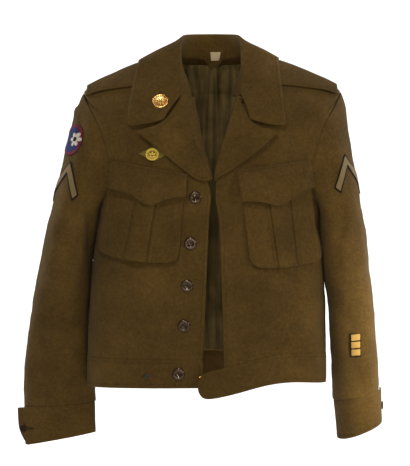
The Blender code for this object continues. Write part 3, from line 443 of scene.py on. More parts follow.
def body_travel(points):
    x, y, z = (points * 1000).T
    front = smoothstep((20 - y) / 50)
    depth = crease_depth(x, z, FRONT_CREASES) * front + 1.7 * crease_depth(x, z, BACK_CREASES) * (1 - front)
    depth += 0.5 * unrest(x, y, z, 0.045, 1.0)
    depth += 0.35 * unrest(x, y, z, 0.11, 2.0)
    armhole = smoothstep((196 - np.abs(x)) / 34) + smoothstep((-262 - z) / 40)
    quiet = np.clip(armhole, 0, 1) * smoothstep((8 - z) / 40)
    waist = 1 - 0.75 * smoothstep((-468 - z) / 22)
    moved = pushed(depth * quiet * waist, 0.5 * x, y)
    moved[:, 0] += np.sign(x) * 1.4 * smoothstep((np.abs(x) - 158) / 22) * beside_body(z)
    # The two front edges close to a point under the lapels
    closing = 0.66 * np.exp(-(((x - FRONT_X) / 17) ** 2)) * smoothstep((-40 - y) / 20)
    moved[:, 0] += (FRONT_X - x) * closing * smoothstep((-186 - z) / 12) * smoothstep((z + 262) / 52)
    return moved / 1000


def sleeve_travel(side):
    table = RIGHT_SLEEVE_CREASES if side < 0 else LEFT_SLEEVE_CREASES

    def travel(points):
        x, y, z = (points * 1000).T
        down = smoothstep((-60 - z) / 500)
        middle_x = side * (222 + 26 * down)
        middle_y = (56 if side < 0 else -12) * smoothstep((-300 - z) / 300)
        front = smoothstep((middle_y + 14 - y) / 40)
        depth = crease_depth(x, z, table) * front
        # The back of the sleeve takes the same creases, mirrored and 26 mm higher
        depth += crease_depth(2 * middle_x - x, z - 26, table) * (1 - front) * 1.15
        depth += 0.6 * unrest(x, y, z, 0.05, 3.0 + side)
        depth += 0.35 * unrest(x, y, z, 0.12, 4.0 + side)
        away = smoothstep((side * x - 196) / 26) + smoothstep((-228 - z) / 40)
        quiet = np.clip(away, 0, 1) * (0.3 + 0.7 * smoothstep((z + 575) / 30))
        moved = pushed(depth * quiet, x - middle_x, (y - middle_y) * 0.6)
        moved[:, 0] -= side * 4.2 * smoothstep((210 - side * x) / 24) * beside_body(z)
        return moved / 1000
    return travel


RIGHT_ARM = sleeve_travel(-1)
LEFT_ARM = sleeve_travel(1)

# %% [markdown]
# The body is three panels: two fronts and a back. They are the largest pieces of cloth, so
# they get the most subdivision, for the folds to have points to bend.

# %% Body, sleeves, cuffs and waistband
# Levels of subdivision and the rims' part crease, for broad panels and for small ones
BROAD, SMALL = (3, 0.8), (2, 0.7)
WOOL_PANELS = [
    (BROAD, body_travel, [*both("front"), "back"]),
    (SMALL, body_travel, [*both("waistband"), "waistband_back"]),
    (BROAD, RIGHT_ARM, ["sleeve_right"]),
    (BROAD, LEFT_ARM, ["sleeve_left"]),
    (SMALL, RIGHT_ARM, ["cuff_right"]),
    (SMALL, LEFT_ARM, ["cuff_left"]),
]
panels = {}
for fineness, travel, names in WOOL_PANELS:
    for name in names:
        panels[name] = dress(name, *fineness, WOOL, "olive_wool", travel)
print("body faces:", {name: len(o.data.polygons) for name, o in panels.items()})

# %% [markdown]
# Collar, lapels, shoulder loops, pockets and flaps are doubled cloth, pressed flat at the
# edges. They take the same field of folds as the body, so they lie where they were sewn,
# and their free edges stand off it by a few millimetres.


# %% Collar, lapels, loops, pockets and flaps
def standing(amount_of):
    """The body's folds, with the free edge of a doubled piece standing off by so many millimetres."""
    def travel(points):
        x, _, z = (points * 1000).T
        moved = body_travel(points)
        moved[:, 1] -= amount_of(x, z) / 1000
        return moved
    return travel


STANDING = {
    "collar": standing(lambda x, z: 4.0 * smoothstep((-58 - z) / 45)),
    "lapel": standing(lambda x, z: 4.2 * smoothstep((np.abs(x + 9) - 38 - 0.28 * (z + 185)) / 42)),
    "flap": standing(lambda x, z: 4.2 * smoothstep((-188 - z) / 34)),
    "pocket": standing(lambda x, z: 1.0 + 1.4 * smoothstep((-262 - z) / 60)),
}
for name in ["collar", *both("lapel", "shoulder_loop", "pocket", "flap")]:
    travel = STANDING.get(name.split("_")[0], body_travel)
    panels[name] = dress(name, *SMALL, WOOL, "olive_wool", travel)

# %% [markdown]
# The lining is a smooth cotton twill, a little paler than the wool, with soft streaks of
# painted shade down its gathers. It hangs fuller than the back, so it falls in small pleats
# down its middle.


# %% Lining finish
def make_lining_finish():
    lining = Finish("olive cotton lining")
    cloud = lining.add("TexNoise", Vector=lining.place, Scale=30.0, Detail=5.0)
    weave = lining.add("TexWave", Vector=lining.place, Scale=900.0, Distortion=0.6)
    # Painted shade: noise stretched down the lining darkens and lightens its colour in long streaks, standing
    # in for the shade between its gathers
    stretched = lining.add("Mapping", Vector=lining.place, Scale=(95.0, 20.0, 7.0))
    gather_shade_streaks = lining.add("TexNoise", Vector=(stretched, "Vector"), Scale=1.0, Detail=3.0, Distortion=0.4)
    shade = lining.add("MapRange", Value=(gather_shade_streaks, "Fac"), From_Min=0.4, From_Max=0.6,
                       To_Min=0.62, To_Max=1.15)
    tones = lining.ramp((cloud, "Fac"), [(0.3, (0.090, 0.060, 0.017)), (0.8, (0.205, 0.140, 0.047))])
    lining.fill(lining.shader, Base_Color=lining.shaded(tones, (shade, "Result"), 1.0),
                Roughness=0.7, Specular_IOR_Level=0.15)
    lining.bump((weave, "Fac"), 0.2, 0.0002)
    return lining.material


LINING = make_lining_finish()


# %% Lining and neck patch
# Each pleat: its middle and its lean from the vertical, its width and its depth, in millimetres
LINING_PLEATS = [
    (6, -0.022, 4.6, 9.5), (-9, 0.022, 4.2, 5.0), (24, -0.022, 4.5, 5.0), (-27, -0.022, 5.5, 4.0),
]
CROSS_SEAMS = (-50, -425)


def lining_travel(points):
    """The back's folds, and small pleats that the lining has for itself."""
    x, y, z = (points * 1000).T
    low = smoothstep((12 - z) / 50)
    waist = smoothstep((z + 470) / 60)
    fall = 4.5 * np.abs(np.sin(x * 0.19 + 0.9 * np.sin(z * 0.017))) * smoothstep((-170 - z) / 80)
    for middle, lean, width, depth in LINING_PLEATS:
        fall += depth * np.exp(-((x - middle - lean * z) / width) ** 2)
    for seam in CROSS_SEAMS:
        fall -= 1.6 * np.exp(-((z - seam) / 2.6) ** 2)
    forward = np.zeros_like(points)
    forward[:, 1] = -fall * low * waist / 1000
    return body_travel(points) * 0.9 + forward


panels["lining"] = dress("lining", 3, 0.6, LINING, "olive_lining", lining_travel)
panels["neck_patch"] = dress("neck_patch", 2, 0.6, WOOL, "olive_wool")

# %% [markdown]
# The doubled pieces, the bands and the front edges are topstitched with a thread that is
# pulled down into the wool. A panel's own rim gives the path. Each rim point is moved a seam's
# width into the panel and dropped on the dressed cloth, and the path is cut into stitches.


# %% Stitching
def surface_tree_of(obj):
    points = [v.co.copy() for v in obj.data.vertices]
    return BVHTree.FromPolygons(points, [tuple(p.vertices) for p in obj.data.polygons])


def outer_rims(node_name, outward):
    """The rim of a panel's outer side as runs of (place, way into the panel)."""
    mesh = merged_copy(node_name)
    sharp = sharp_edges(mesh)
    ways = rim_ways(mesh, sharp)
    side_of, sides = {}, []
    for face in mesh.faces:
        if face.index in side_of:
            continue
        side_of[face.index] = len(sides)
        group = [face]
        for here in group:
            smooth_edges = [edge for edge in here.edges if edge not in sharp]
            for other in (face for edge in smooth_edges for face in edge.link_faces):
                if other.index not in side_of:
                    side_of[other.index] = len(sides)
                    group.append(other)
        sides.append(group)

    def facing(group):
        return sum(f.calc_area() * f.normal.dot(outward(f.calc_center_median())) for f in group)
    chosen = max(range(len(sides)), key=lambda i: facing(sides[i]))
    rim = [e for e in sharp if chosen in [side_of[f.index] for f in e.link_faces]]
    after = {}
    for edge in rim:
        for vert in edge.verts:
            after.setdefault(vert, []).append(edge)
    runs, used = [], set()
    for edge in rim:
        if edge in used:
            continue
        used.add(edge)
        run = list(edge.verts)
        while onward := [e for e in after[run[-1]] if e not in used]:
            used.add(onward[0])
            run.append(onward[0].other_vert(run[-1]))
        runs.append([(v.co.copy(), -ways.get(v, Vector())) for v in run])
    mesh.free()
    return runs


def walk(path, step):
    """Points at even steps along a path, with the way the path runs."""
    places, left = [], 0.0
    for a, b in zip(path, path[1:]):
        length = (b - a).length
        while length > 1e-9 and left < length:
            places.append((a.lerp(b, left / length), (b - a).normalized()))
            left += step
        left -= length
    return places


# Distance from one stitch to the next, and a stitch's length and half width, in metres
STITCH_STEP, STITCH_LENGTH, STITCH_HALF = 0.0034, 0.0026, 0.00034


def add_stitch(mesh, place, run, normal):
    """A spindle of thread with two rings of four points between its ends."""
    side = run.cross(normal).normalized() * STITCH_HALF
    high = normal * STITCH_HALF
    ends = [mesh.verts.new(place + run * STITCH_LENGTH * k) for k in (-0.5, 0.5)]
    rings = []
    for k in (-0.28, 0.28):
        middle = place + run * STITCH_LENGTH * k + high * 0.7
        rings.append([mesh.verts.new(middle + side * a + high * b)
                      for a, b in ((1, 0), (0, 0.8), (-1, 0), (0, -0.8))])
    skin(mesh, rings, capped=False)
    for i in range(4):
        j = (i + 1) % 4
        mesh.faces.new((ends[0], rings[0][j], rings[0][i]))
        mesh.faces.new((ends[1], rings[1][i], rings[1][j]))


def stitch(name, paths, tree):
    """Stitches along paths that are dropped on a surface."""
    mesh = bmesh.new()
    count = 0
    for path in paths:
        for place, run in walk(path, STITCH_STEP):
            spot, normal, _, _ = tree.find_nearest(place, 0.02)
            if spot is None:
                continue
            run = (run - normal * run.dot(normal)).normalized()
            add_stitch(mesh, spot, run, normal)
            count += 1
    settle(mesh, name, THREAD, "olive_wool")
    return count


def from_body(place):
    return Vector((place.x * 0.4, place.y, 0)).normalized()


def from_arm(side, middle_y):
    def outward(place):
        return Vector((place.x - side * 0.24, place.y - middle_y, 0)).normalized()
    return outward


def rim_paths(node_name, outward, inset, travel, keep=None):
    """A panel's rim, moved into it and folded with it, as runs of the places to keep."""
    paths = []
    for run in outer_rims(node_name, outward):
        rim = np.array([list(place + way * inset) for place, way in run])
        part = []
        for place in map(Vector, rim + travel(rim)):
            if keep is None or keep(place):
                part.append(place)
            elif part:
                paths.append(part)
                part = []
        paths.append(part)
    return [p for p in paths if len(p) > 1]


# The way out of each sleeve and each cuff, which is bent forward or back of the body's middle
RIGHT_OUT, LEFT_OUT = from_arm(-1, 0.0), from_arm(1, 0.0)
CUFFS = {"cuff_right": (from_arm(-1, 0.052), RIGHT_ARM), "cuff_left": (from_arm(1, -0.012), LEFT_ARM)}
SEAM, POCKET_SEAM = 0.0052, 0.0016
STITCHED = ["collar", *both("lapel", "front", "flap", "pocket", "shoulder_loop", "waistband"),
            "waistband_back", *both("cuff")]


def on_front_edge(place):
    return -0.04 < place.x < 0.03 and place.z < -0.2


def off_collar_seam(place):
    return not (place.z > -0.07 and abs(place.x) < 0.062 and place.y < 0.07)


KEEP = {"front_right": on_front_edge, "front_left": on_front_edge, "collar": off_collar_seam}
stitch_counts = {}
for name in STITCHED:
    outward, travel = CUFFS.get(name, (from_body, body_travel))
    inset = POCKET_SEAM if name.startswith("pocket") else SEAM
    paths = rim_paths(name, outward, inset, travel, KEEP.get(name))
    stitch_counts[name] = stitch("stitches_" + name, paths, surface_tree_of(panels[name]))
print("stitches:", sum(stitch_counts.values()), stitch_counts)

# %% [markdown]
# The buttons are moulded plastic: a dished middle with four holes, a round rim, and thread
# crossed through the holes. They are turned like pottery, from half an outline spun round.
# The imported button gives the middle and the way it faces.


# %% Hard finishes
def make_hard(name, colour, roughness, metallic=0.0, specular=0.5, bump_height=0.0):
    hard = Finish(name)
    noise = (hard.add("TexNoise", Vector=hard.place, Scale=420.0, Detail=4.0), "Fac")
    worn = hard.add("MapRange", Value=noise, To_Min=roughness * 0.8, To_Max=roughness * 1.25)
    tones = hard.ramp(noise, [(0.3, [c * 0.7 for c in colour]), (0.75, [min(c * 1.3, 1) for c in colour])])
    hard.fill(hard.shader, Base_Color=tones, Roughness=(worn, "Result"), Metallic=metallic,
              Specular_IOR_Level=specular, Specular_Tint=(1.0, 0.78, 0.56, 1))
    if bump_height:
        hard.bump(noise, 0.5, bump_height)
    return hard.material


SMALL_PLASTIC = make_hard("brown plastic of the small buttons", (0.036, 0.017, 0.0075), 0.3, specular=0.08)
PLASTIC = make_hard("dark brown plastic", (0.030, 0.014, 0.006), 0.12, specular=0.6)
BRASS = make_hard("gilt brass", (0.84, 0.47, 0.15), 0.24, metallic=1.0, bump_height=0.00009)
STEEL = make_hard("blackened steel", (0.045, 0.043, 0.026), 0.45, metallic=0.4, specular=0.2)


# %% Turned and swept shapes
TUBE_SIDES = 6


def spun(profile, steps=36):
    """A turned shape from (radius, height) pairs in millimetres, closed at its axis."""
    mesh = bmesh.new()
    verts = [mesh.verts.new((r / 1000, 0, h / 1000)) for r, h in profile]
    edges = [mesh.edges.new(pair) for pair in zip(verts, verts[1:])]
    bmesh.ops.spin(mesh, geom=verts + edges, cent=(0, 0, 0), axis=(0, 0, 1), angle=math.tau,
                   steps=steps, use_merge=True, use_duplicate=False)
    bmesh.ops.remove_doubles(mesh, verts=mesh.verts, dist=0.000002)
    bmesh.ops.recalc_face_normals(mesh, faces=mesh.faces)
    return mesh


def tube(mesh, path, radius, closed=False):
    """A round thread along a path, with closed ends or joined up."""
    count = len(path)
    rings = []
    for i, place in enumerate(path):
        before = path[(i - 1) % count] if closed or i else place
        after = path[(i + 1) % count] if closed or i < count - 1 else place
        run = (after - before).normalized()
        across = run.cross(Vector((0.31, 0.11, 0.94))).normalized()
        up = across.cross(run)
        rings.append([mesh.verts.new(place + (across * math.cos(t) + up * math.sin(t)) * radius)
                      for t in (math.tau * k / TUBE_SIDES for k in range(TUBE_SIDES))])
    skin(mesh, rings + rings[:1] if closed else rings, capped=not closed)


# What each small part is sewn to
SEWN_TO = {
    **{"front_button_%d" % number: "front_right" for number in range(1, 5)},
    "band_button": "waistband_right", "band_stud": "waistband_right", "cuff_button_right": "cuff_right",
    "cuff_button_left": "cuff_left", "vent_button_left": "sleeve_left",
}


def seat_of(node_name):
    """Where a turned node is seated, and the way that it faces."""
    points = points_of(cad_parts[node_name].data)
    middle = (points.max(axis=0) + points.min(axis=0)) / 2
    normal = np.linalg.svd(points - points.mean(axis=0))[2][2]
    outward = np.array([middle[0] * 0.4, middle[1], 0.0])
    if abs(middle[0]) > 0.2:
        outward = np.array([middle[0], -abs(middle[0]) * 0.3, 0.0])
    if normal.dot(outward) < 0:
        normal = -normal
    heights = (points - middle).dot(normal)
    base, normal = Vector(middle + normal * heights.min()), Vector(normal)
    if node_name in SEWN_TO:
        cloth = surface_tree_of(panels[SEWN_TO[node_name]])
        hit, _, _, _ = cloth.ray_cast(base + normal * 0.008, -normal, 0.03)
        base = hit or base
    return base, normal


def put(mesh, name, base, normal, material, slot_name, stands_for=None, turn=0.0):
    """Moves a shape made at the origin onto its seat and makes it a piece."""
    lay = normal.to_track_quat("Z", "Y").to_matrix().to_4x4()
    place = Matrix.Translation(base) @ lay @ Matrix.Rotation(turn, 4, "Z")
    bmesh.ops.transform(mesh, matrix=place, verts=mesh.verts)
    return settle(mesh, name, material, slot_name, stands_for)


# %% Buttons
FRONT_PROFILE = [(0, 1.9), (3.3, 1.9), (4.3, 2.15), (5.2, 2.9), (6.3, 3.35), (7.6, 3.4), (8.9, 2.95),
                 (9.75, 2.1), (10.0, 1.5), (9.6, 0.8), (8.6, 0.3), (4.0, 0.0), (0, 0.0)]
SMALL_PROFILE = [(0, 1.5), (2.5, 1.5), (3.2, 1.7), (3.9, 2.3), (4.8, 2.6), (5.8, 2.55), (6.7, 1.9),
                 (7.2, 1.2), (6.8, 0.5), (4.0, 0.0), (0, 0.0)]
THREAD_RADIUS = 0.00042
# Outline, finish, distance and radius of the holes, and height of the thread, in metres
FRONT_KIND = (FRONT_PROFILE, PLASTIC, 0.0018, 0.00095, 0.0019)
SMALL_KIND = (SMALL_PROFILE, SMALL_PLASTIC, 0.0013, 0.00075, 0.0015)
BUTTONS = {"front_button_%d" % number: FRONT_KIND for number in range(1, 5)}
BUTTONS["band_button"] = FRONT_KIND
for name in (*both("cuff_button"), "vent_button_left"):
    BUTTONS[name] = SMALL_KIND


def holed(profile, spread, radius):
    """A turned button with four holes cut through it."""
    blank = linked(spun(profile), "button_blank")
    drills = bmesh.new()
    for a, b in ((1, 1), (-1, 1), (-1, -1), (1, -1)):
        bmesh.ops.create_cone(drills, cap_ends=True, segments=14, radius1=radius, radius2=radius, depth=0.02,
                              matrix=Matrix.Translation((a * spread, b * spread, 0)))
    drill = linked(drills, "drills")
    cut = blank.modifiers.new("holes", "BOOLEAN")
    cut.object = drill
    cut.solver = "EXACT"
    bake(blank)
    made = blank.data
    bpy.data.objects.remove(blank)
    bpy.data.objects.remove(drill)
    return made


def thread_cross(spread, height):
    """Two threads from hole to hole each way, bowed up in the middle and down into the holes."""
    mesh = bmesh.new()
    for a, b in ((1, 1), (1, -1)):
        for shift in (-0.0004, 0.0004):
            path = []
            for t in (k / 4 - 1 for k in range(9)):
                rise = height + 0.0007 * (1 - t ** 4) + 0.0003 * (b < 0) - 0.0012 * (abs(t) ** 8)
                path.append(Vector((a * spread * t + shift * b, b * spread * t - shift * a, rise)))
            tube(mesh, path, THREAD_RADIUS)
    return mesh


blanks = {finish.name: holed(profile, spread, radius)
          for profile, finish, spread, radius, height in (FRONT_KIND, SMALL_KIND)}
for number, (name, (profile, finish, spread, radius, height)) in enumerate(BUTTONS.items()):
    base, normal = seat_of(name)
    turn = 0.35 + 1.7 * number
    shape = bmesh.new()
    shape.from_mesh(blanks[finish.name])
    button = put(shape, name + "_turned", base, normal, finish, "dark_buttons", name, turn)
    button.data.set_sharp_from_angle(angle=math.radians(40))
    put(thread_cross(spread, height), name + "_thread", base, normal, THREAD, "dark_buttons", None, turn)
print("buttons:", len(BUTTONS))

# %% [markdown]
# The snap stud on the waistband is pressed steel with a small dimple, and the hook is bent
# wire, so both keep their packed place and get the look of metal.

# %% Stud and hook
base, normal = seat_of("band_stud")
stud = spun([(0, 1.2), (0.9, 1.2), (1.5, 1.9), (2.6, 2.0), (3.4, 1.5), (3.8, 1.1), (4.9, 1.0), (5.4, 0.5),
             (5.2, 0.0), (0, 0.0)], 28)
put(stud, "band_stud_pressed", base, normal, STEEL, "blackened_steel", "band_stud")
paint(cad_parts["hook"], BRASS)

# %% [markdown]
# The collar disc is struck in gilt brass: a raised rim, a ring of beads and a plain flower.
# The flower and the beads are small domes set on the disc, as a die would raise them.

# %% Collar disc
BEADS, PETALS = 24, 7
BEAD_RING, PETAL_RING, FACE = 0.0089, 0.0041, 0.0011
base, normal = seat_of("collar_disc")
disc = spun([(0, 1.1), (9.8, 1.0), (10.4, 1.3), (11.0, 1.9), (11.8, 2.0), (12.5, 1.5), (12.7, 0.8),
             (12.2, 0.0), (0, 0.0)], 48)
domes = [(0.00085, math.tau * k / BEADS, (BEAD_RING, 0, FACE), (1, 1, 1)) for k in range(BEADS)]
domes += [(0.001, math.tau * k / PETALS + 0.3, (PETAL_RING, 0, FACE), (2.7, 1.5, 1.6)) for k in range(PETALS)]
domes.append((0.0016, 0, (0, 0, 0.0013), (1, 1, 1)))
for radius, turn, place, stretch in domes:
    shape = Matrix.Rotation(turn, 4, "Z") @ Matrix.Translation(place) @ Matrix.Diagonal((*stretch, 1))
    bmesh.ops.create_icosphere(disc, subdivisions=2, radius=radius, matrix=shape)
put(disc, "collar_disc_struck", base, normal, BRASS, "gilt_brass", "collar_disc")

# %% [markdown]
# Badges are embroidered on a twill ground, so each is a thin pad of thread. The colour of a
# place depends on how far it is from the badge's rim, which is kept with the mesh.


# %% Thread finishes
# How far in from a badge's rim its bands of colour can start, in millimetres
RIM_REACH = 40


def make_stitched(name, zones, roughness=0.75):
    """Embroidery: zones are (distance from the rim in millimetres where it starts, colour)."""
    thread = Finish(name)
    turned = thread.add("Mapping", Vector=thread.place, Rotation=(0.0, 0.6, 0.3))
    ridges = thread.add("TexWave", Vector=(turned, "Vector"), Scale=500.0, Distortion=1.2, Detail=2.0)
    cloud = thread.add("TexNoise", Vector=thread.place, Scale=900.0, Detail=3.0)
    relief = thread.math("MULTIPLY", (ridges, "Fac"), (cloud, "Fac"))
    tone = thread.add("MapRange", Value=relief, To_Min=0.45, To_Max=1.4)
    rim = thread.add("Attribute", attribute_name="rim_distance")
    share = thread.math("MULTIPLY", (rim, "Fac"), 1000 / RIM_REACH)
    stops = [(start / RIM_REACH, colour) for start, colour in zones] + [(1, zones[-1][1])]
    bands = thread.ramp(share, stops, "CONSTANT")
    thread.fill(thread.shader, Base_Color=thread.shaded(bands, (tone, "Result"), 0.55),
                Roughness=roughness, Specular_IOR_Level=0.15)
    thread.bump((ridges, "Fac"), 0.4, 0.0003)
    return thread.material


DARK_EDGE = (0.012, 0.007, 0.004)
PATCH = make_stitched("blue and red embroidery", [(0, (0.020, 0.022, 0.045)), (0.7, (0.19, 0.012, 0.028)),
                                                  (5.0, (0.020, 0.026, 0.115))])
STRIPE = make_stitched("khaki stripe", [(0, DARK_EDGE), (2.3, (0.235, 0.160, 0.066))])
# The dark backing of the bars and the flower's eye; the same finish paints the shade in the buttonhole's slit
BACKING_AND_SLIT_SHADE = make_stitched("dark backing and painted slit shade", [(0, (0.022, 0.013, 0.006))])
GROUND = make_stitched("olive gold ground", [(0, (0.115, 0.085, 0.015)), (1.2, (0.19, 0.14, 0.022))])
GOLD = make_stitched("gold thread", [(0, (0.55, 0.34, 0.045)), (0.6, (0.88, 0.60, 0.10))], 0.5)
BAR_GOLD = make_stitched("orange gold thread", [(0, (0.30, 0.14, 0.025)), (0.8, (0.56, 0.33, 0.075))], 0.5)
CREAM = make_stitched("cream thread", [(0, (0.52, 0.45, 0.33)), (0.5, (0.68, 0.62, 0.50))])
LABEL = make_stitched("woven label", [(0, (0.72, 0.56, 0.33))], 0.8)


def keep_rim_distance(obj, paths):
    """Stores each point's distance to a set of paths with the mesh."""
    rim = np.array([list(place) for path in paths for place, _ in walk(path, 0.0004)])
    points = points_of(obj.data)
    far = [np.sqrt(((rim - point) ** 2).sum(axis=1).min()) for point in points]
    layer = obj.data.attributes.new("rim_distance", "FLOAT", "POINT")
    layer.data.foreach_set("value", np.array(far, dtype=np.float32))


# %% Badge grounds
# Each badge: its finish, slot, folds, way out and the cloth that it is sewn on
BADGES = {
    "sleeve_patch": (PATCH, "patch_embroidery", RIGHT_ARM, RIGHT_OUT, "sleeve_right"),
    "chevron_right": (STRIPE, "rank_stripe", RIGHT_ARM, RIGHT_OUT, "sleeve_right"),
    "chevron_left": (STRIPE, "rank_stripe", LEFT_ARM, LEFT_OUT, "sleeve_left"),
    "service_bars": (BACKING_AND_SLIT_SHADE, "gold_embroidery", LEFT_ARM, LEFT_OUT, "sleeve_left"),
    "lozenge_patch": (GROUND, "patch_embroidery", body_travel, from_body, "front_right"),
}


# A badge's gap to its cloth and its thickness, in metres
GAP, THICKNESS = 0.0002, 0.0014


def lay_on(obj, cloth):
    """Lays a dressed badge on the cloth beneath it, as thick as it was packed."""
    tree = surface_tree_of(cloth)
    normals = [v.normal.copy() for v in obj.data.vertices]
    for vertex, facing in zip(obj.data.vertices, normals):
        hit, normal, _, _ = tree.find_nearest(vertex.co)
        if normal.dot(vertex.co - hit) < 0 and (vertex.co - hit).length > 0.0016:
            normal = -normal
        share = min(max(0.5 + facing.dot(normal) * 0.9, 0), 1)
        vertex.co = hit + normal * (GAP + THICKNESS * share)
    obj.data.update()


for name, (finish, slot_name, travel, outward, cloth) in BADGES.items():
    panels[name] = dress(name, 3, 0.8, finish, slot_name, travel, grow=0.0)
    keep_rim_distance(panels[name], rim_paths(name, outward, 0.0, travel))
    lay_on(panels[name], panels[cloth])
panels["label"] = dress("label", 2, 0.9, LABEL, "woven_label", grow=0.0)
print("badges:", {name: len(panels[name].data.polygons) for name in BADGES})


# %% Raised thread
def seat_at(tree, spot, normal):
    """A surface with a place on it, and that place's right, up and normal."""
    right = Vector((0, 0, 1)).cross(normal).normalized()
    return tree, spot, right, normal.cross(right), normal


def middle_of(node_name, outward):
    """The seat at the middle of a badge."""
    points = points_of(panels[node_name].data)
    middle = Vector((points.max(axis=0) + points.min(axis=0)) / 2)
    tree = surface_tree_of(panels[node_name])
    spot, normal, _, _ = tree.find_nearest(middle + outward(middle) * 0.01)
    return seat_at(tree, spot, -normal if normal.dot(outward(spot)) < 0 else normal)


def pad(name, seat, outline, height, finish, slot_name):
    """A raised pad of thread with this outline, dropped on the badge beneath it."""
    tree, spot, right, up, normal = seat
    mesh = bmesh.new()
    rings = []
    middle = Vector([sum(values) / len(outline) for values in zip(*outline)])
    for share, rise in ((1.0, -0.0002), (0.97, height * 0.7), (0.85, height), (0.5, height * 1.1),
                        (0.2, height * 1.1)):
        ring = []
        for corner in outline:
            u, v = middle.lerp(Vector(corner), share)
            above = spot + right * u + up * v + normal * 0.01
            hit, _, _, _ = tree.ray_cast(above, -normal, 0.03)
            hit = hit or above - normal * 0.01
            ring.append(mesh.verts.new(hit + normal * rise))
        rings.append(ring)
    skin(mesh, rings)
    made = settle(mesh, name, finish, slot_name)
    edge = [v.co.copy() for v in made.data.vertices[:len(outline)]]
    keep_rim_distance(made, [edge + edge[:1]])


def box_outline(width, height, round_by, slant=0.0):
    corners = []
    for a, b, start in ((1, 1, 0), (-1, 1, 90), (-1, -1, 180), (1, -1, 270)):
        for k in range(5):
            turn = math.radians(start + k * 22.5)
            u = a * (width / 2 - round_by) + round_by * math.cos(turn)
            v = b * (height / 2 - round_by) + round_by * math.sin(turn)
            corners.append((u, v + u * slant))
    return corners


def moved_outline(outline, u, v, turn=0.0):
    c, s = math.cos(turn), math.sin(turn)
    return [(u + a * c - b * s, v + a * s + b * c) for a, b in outline]


def flower_outline(petals, outer, waist):
    points = []
    for k in range(petals * 10):
        turn = math.tau * k / (petals * 10)
        reach = outer * (waist + (1 - waist) * abs(math.cos(petals * turn / 2)) ** 0.7)
        points.append((reach * math.cos(turn), reach * math.sin(turn)))
    return points


def leaf_outline(length, width):
    up = [(length * k / 8 - length / 2, width / 2 * math.sin(math.pi * k / 8) ** 0.8) for k in range(9)]
    return up[::-1] + [(u, -v) for u, v in up[1:-1]]


# The sleeve patch's flower
seat = middle_of("sleeve_patch", RIGHT_OUT)
pad("patch_flower", seat, flower_outline(6, 0.0128, 0.42), 0.0007, CREAM, "patch_embroidery")
pad("patch_flower_eye", seat, flower_outline(6, 0.0042, 0.8), 0.0016, BACKING_AND_SLIT_SHADE, "patch_embroidery")

# Three gold bars on their dark backing
seat = middle_of("service_bars", LEFT_OUT)
for number, rise in enumerate((0.0122, 0.0, -0.0122), 1):
    bar = moved_outline(box_outline(0.0150, 0.0104, 0.0012, slant=0.10), 0.0, rise)
    pad("service_bar_%d" % number, seat, bar, 0.0009, BAR_GOLD, "gold_embroidery")

# The lozenge's ring and its sprig of five leaves, each with its middle and its turn in degrees
LEAVES = [(0, 0.0020, 90), (-0.0033, 0.0004, 140), (0.0033, 0.0004, 40), (-0.0024, -0.0037, 160),
          (0.0024, -0.0037, 20)]
seat = middle_of("lozenge_patch", from_body)
_, spot, right, up, normal = seat
ring = bmesh.new()
for radius, thread in ((0.0094, 0.0015), (0.0068, 0.0006)):
    turns = [math.tau * k / 40 for k in range(40)]
    tube(ring, [spot + right * radius * math.cos(turn) + up * radius * 0.92 * math.sin(turn) + normal * 0.0006
                for turn in turns], thread, closed=True)
ring_piece = settle(ring, "lozenge_ring", GOLD, "gold_embroidery")
keep_rim_distance(ring_piece, [[spot, spot + right * 0.001]])
for number, (u, v, turn) in enumerate(LEAVES, 1):
    leaf = moved_outline(leaf_outline(0.0062, 0.0028), u, v, math.radians(turn))
    pad("lozenge_leaf_%d" % number, seat, leaf, 0.0008, GOLD, "gold_embroidery")

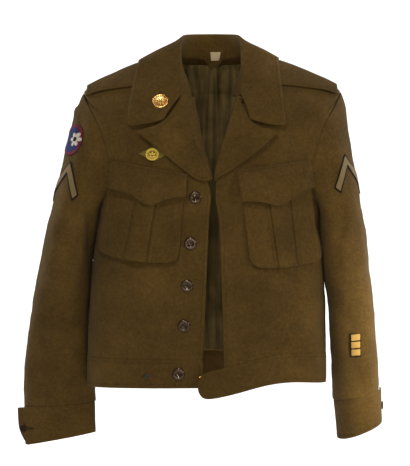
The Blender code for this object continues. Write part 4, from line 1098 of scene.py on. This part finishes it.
# The buttonhole beside the right cuff's button: a slit with thread round it. The slit is a dark pad of
# painted shade, where the real cut shows only shade
base, _ = seat_of("cuff_button_right")
tree = surface_tree_of(panels["cuff_right"])
spot, normal, _, _ = tree.ray_cast(base + Vector((0.0125, -0.03, 0)), Vector((0, 1, 0)))
seat = seat_at(tree, spot, normal if normal.y < 0 else -normal)
pad("buttonhole_thread", seat, box_outline(0.0125, 0.0036, 0.0015), 0.0006, THREAD, "olive_wool")
pad("buttonhole_slit", seat, box_outline(0.0100, 0.0010, 0.0004), 0.0010, BACKING_AND_SLIT_SHADE, "olive_wool")

# %% [markdown]
# Each breast pocket has a box pleat down its middle, so that it can swell. It is a strip of
# the pocket's own wool, and its two folds stand off the pocket and throw a thin shadow.


# %% Pocket pleats
# Depth of the pockets' front, a place well before it, and metres for each pixel at that depth
POCKET_Y, BEFORE = -0.105, -0.4
SCALE = 0.00165 * (1 + POCKET_Y / CAMERA_AWAY)
PLEAT_ROWS = 25
# Top and foot of the left fold, then of the right one, as points of the 410 by 466 picture
PLEATS = {
    "pocket_right": ((138.5, 190), (122.8, 264), (156.5, 196), (144.8, 269.5)),
    "pocket_left": ((268.5, 196), (279.3, 269.5), (289.5, 194), (298.0, 266)),
}
# The strip from side to side, as shares of its width, with its height over the pocket
LEFT_FOLD = [(-0.20, -0.0003), (-0.19, 0.0004), (-0.13, 0.0011), (-0.05, 0.0014), (-0.045, -0.0006),
             (0.02, -0.0006), (0.025, 0.0018), (0.07, 0.0026), (0.3, 0.0018)]
ACROSS = LEFT_FOLD + [(1 - across, rise) for across, rise in LEFT_FOLD[::-1]]


def photo_place(px, py):
    """The place on the pockets' front that the camera sees at a point of the picture."""
    return Vector((MIDDLE_X + (px - 205) * SCALE, BEFORE, MIDDLE_Z - (py - 233) * SCALE))


for name, corners in PLEATS.items():
    left_top, left_foot, right_top, right_foot = [photo_place(*corner) for corner in corners]
    tree = surface_tree_of(panels[name])
    strip = bmesh.new()
    grid = []
    for down in np.linspace(0, 1, PLEAT_ROWS):
        row = []
        for across, rise in ACROSS:
            before = left_top.lerp(right_top, across).lerp(left_foot.lerp(right_foot, across), down)
            hit, _, _, _ = tree.ray_cast(before, Vector((0, 1, 0)))
            if hit is None:
                hit, _, _, _ = tree.find_nearest(Vector((before.x, -0.1, before.z)))
            row.append(strip.verts.new(hit + Vector((0, -rise, 0))))
        grid.append(row)
    skin(strip, grid)
    settle(strip, name + "_pleat", WOOL, "olive_wool")
print("pleats:", len(PLEATS))
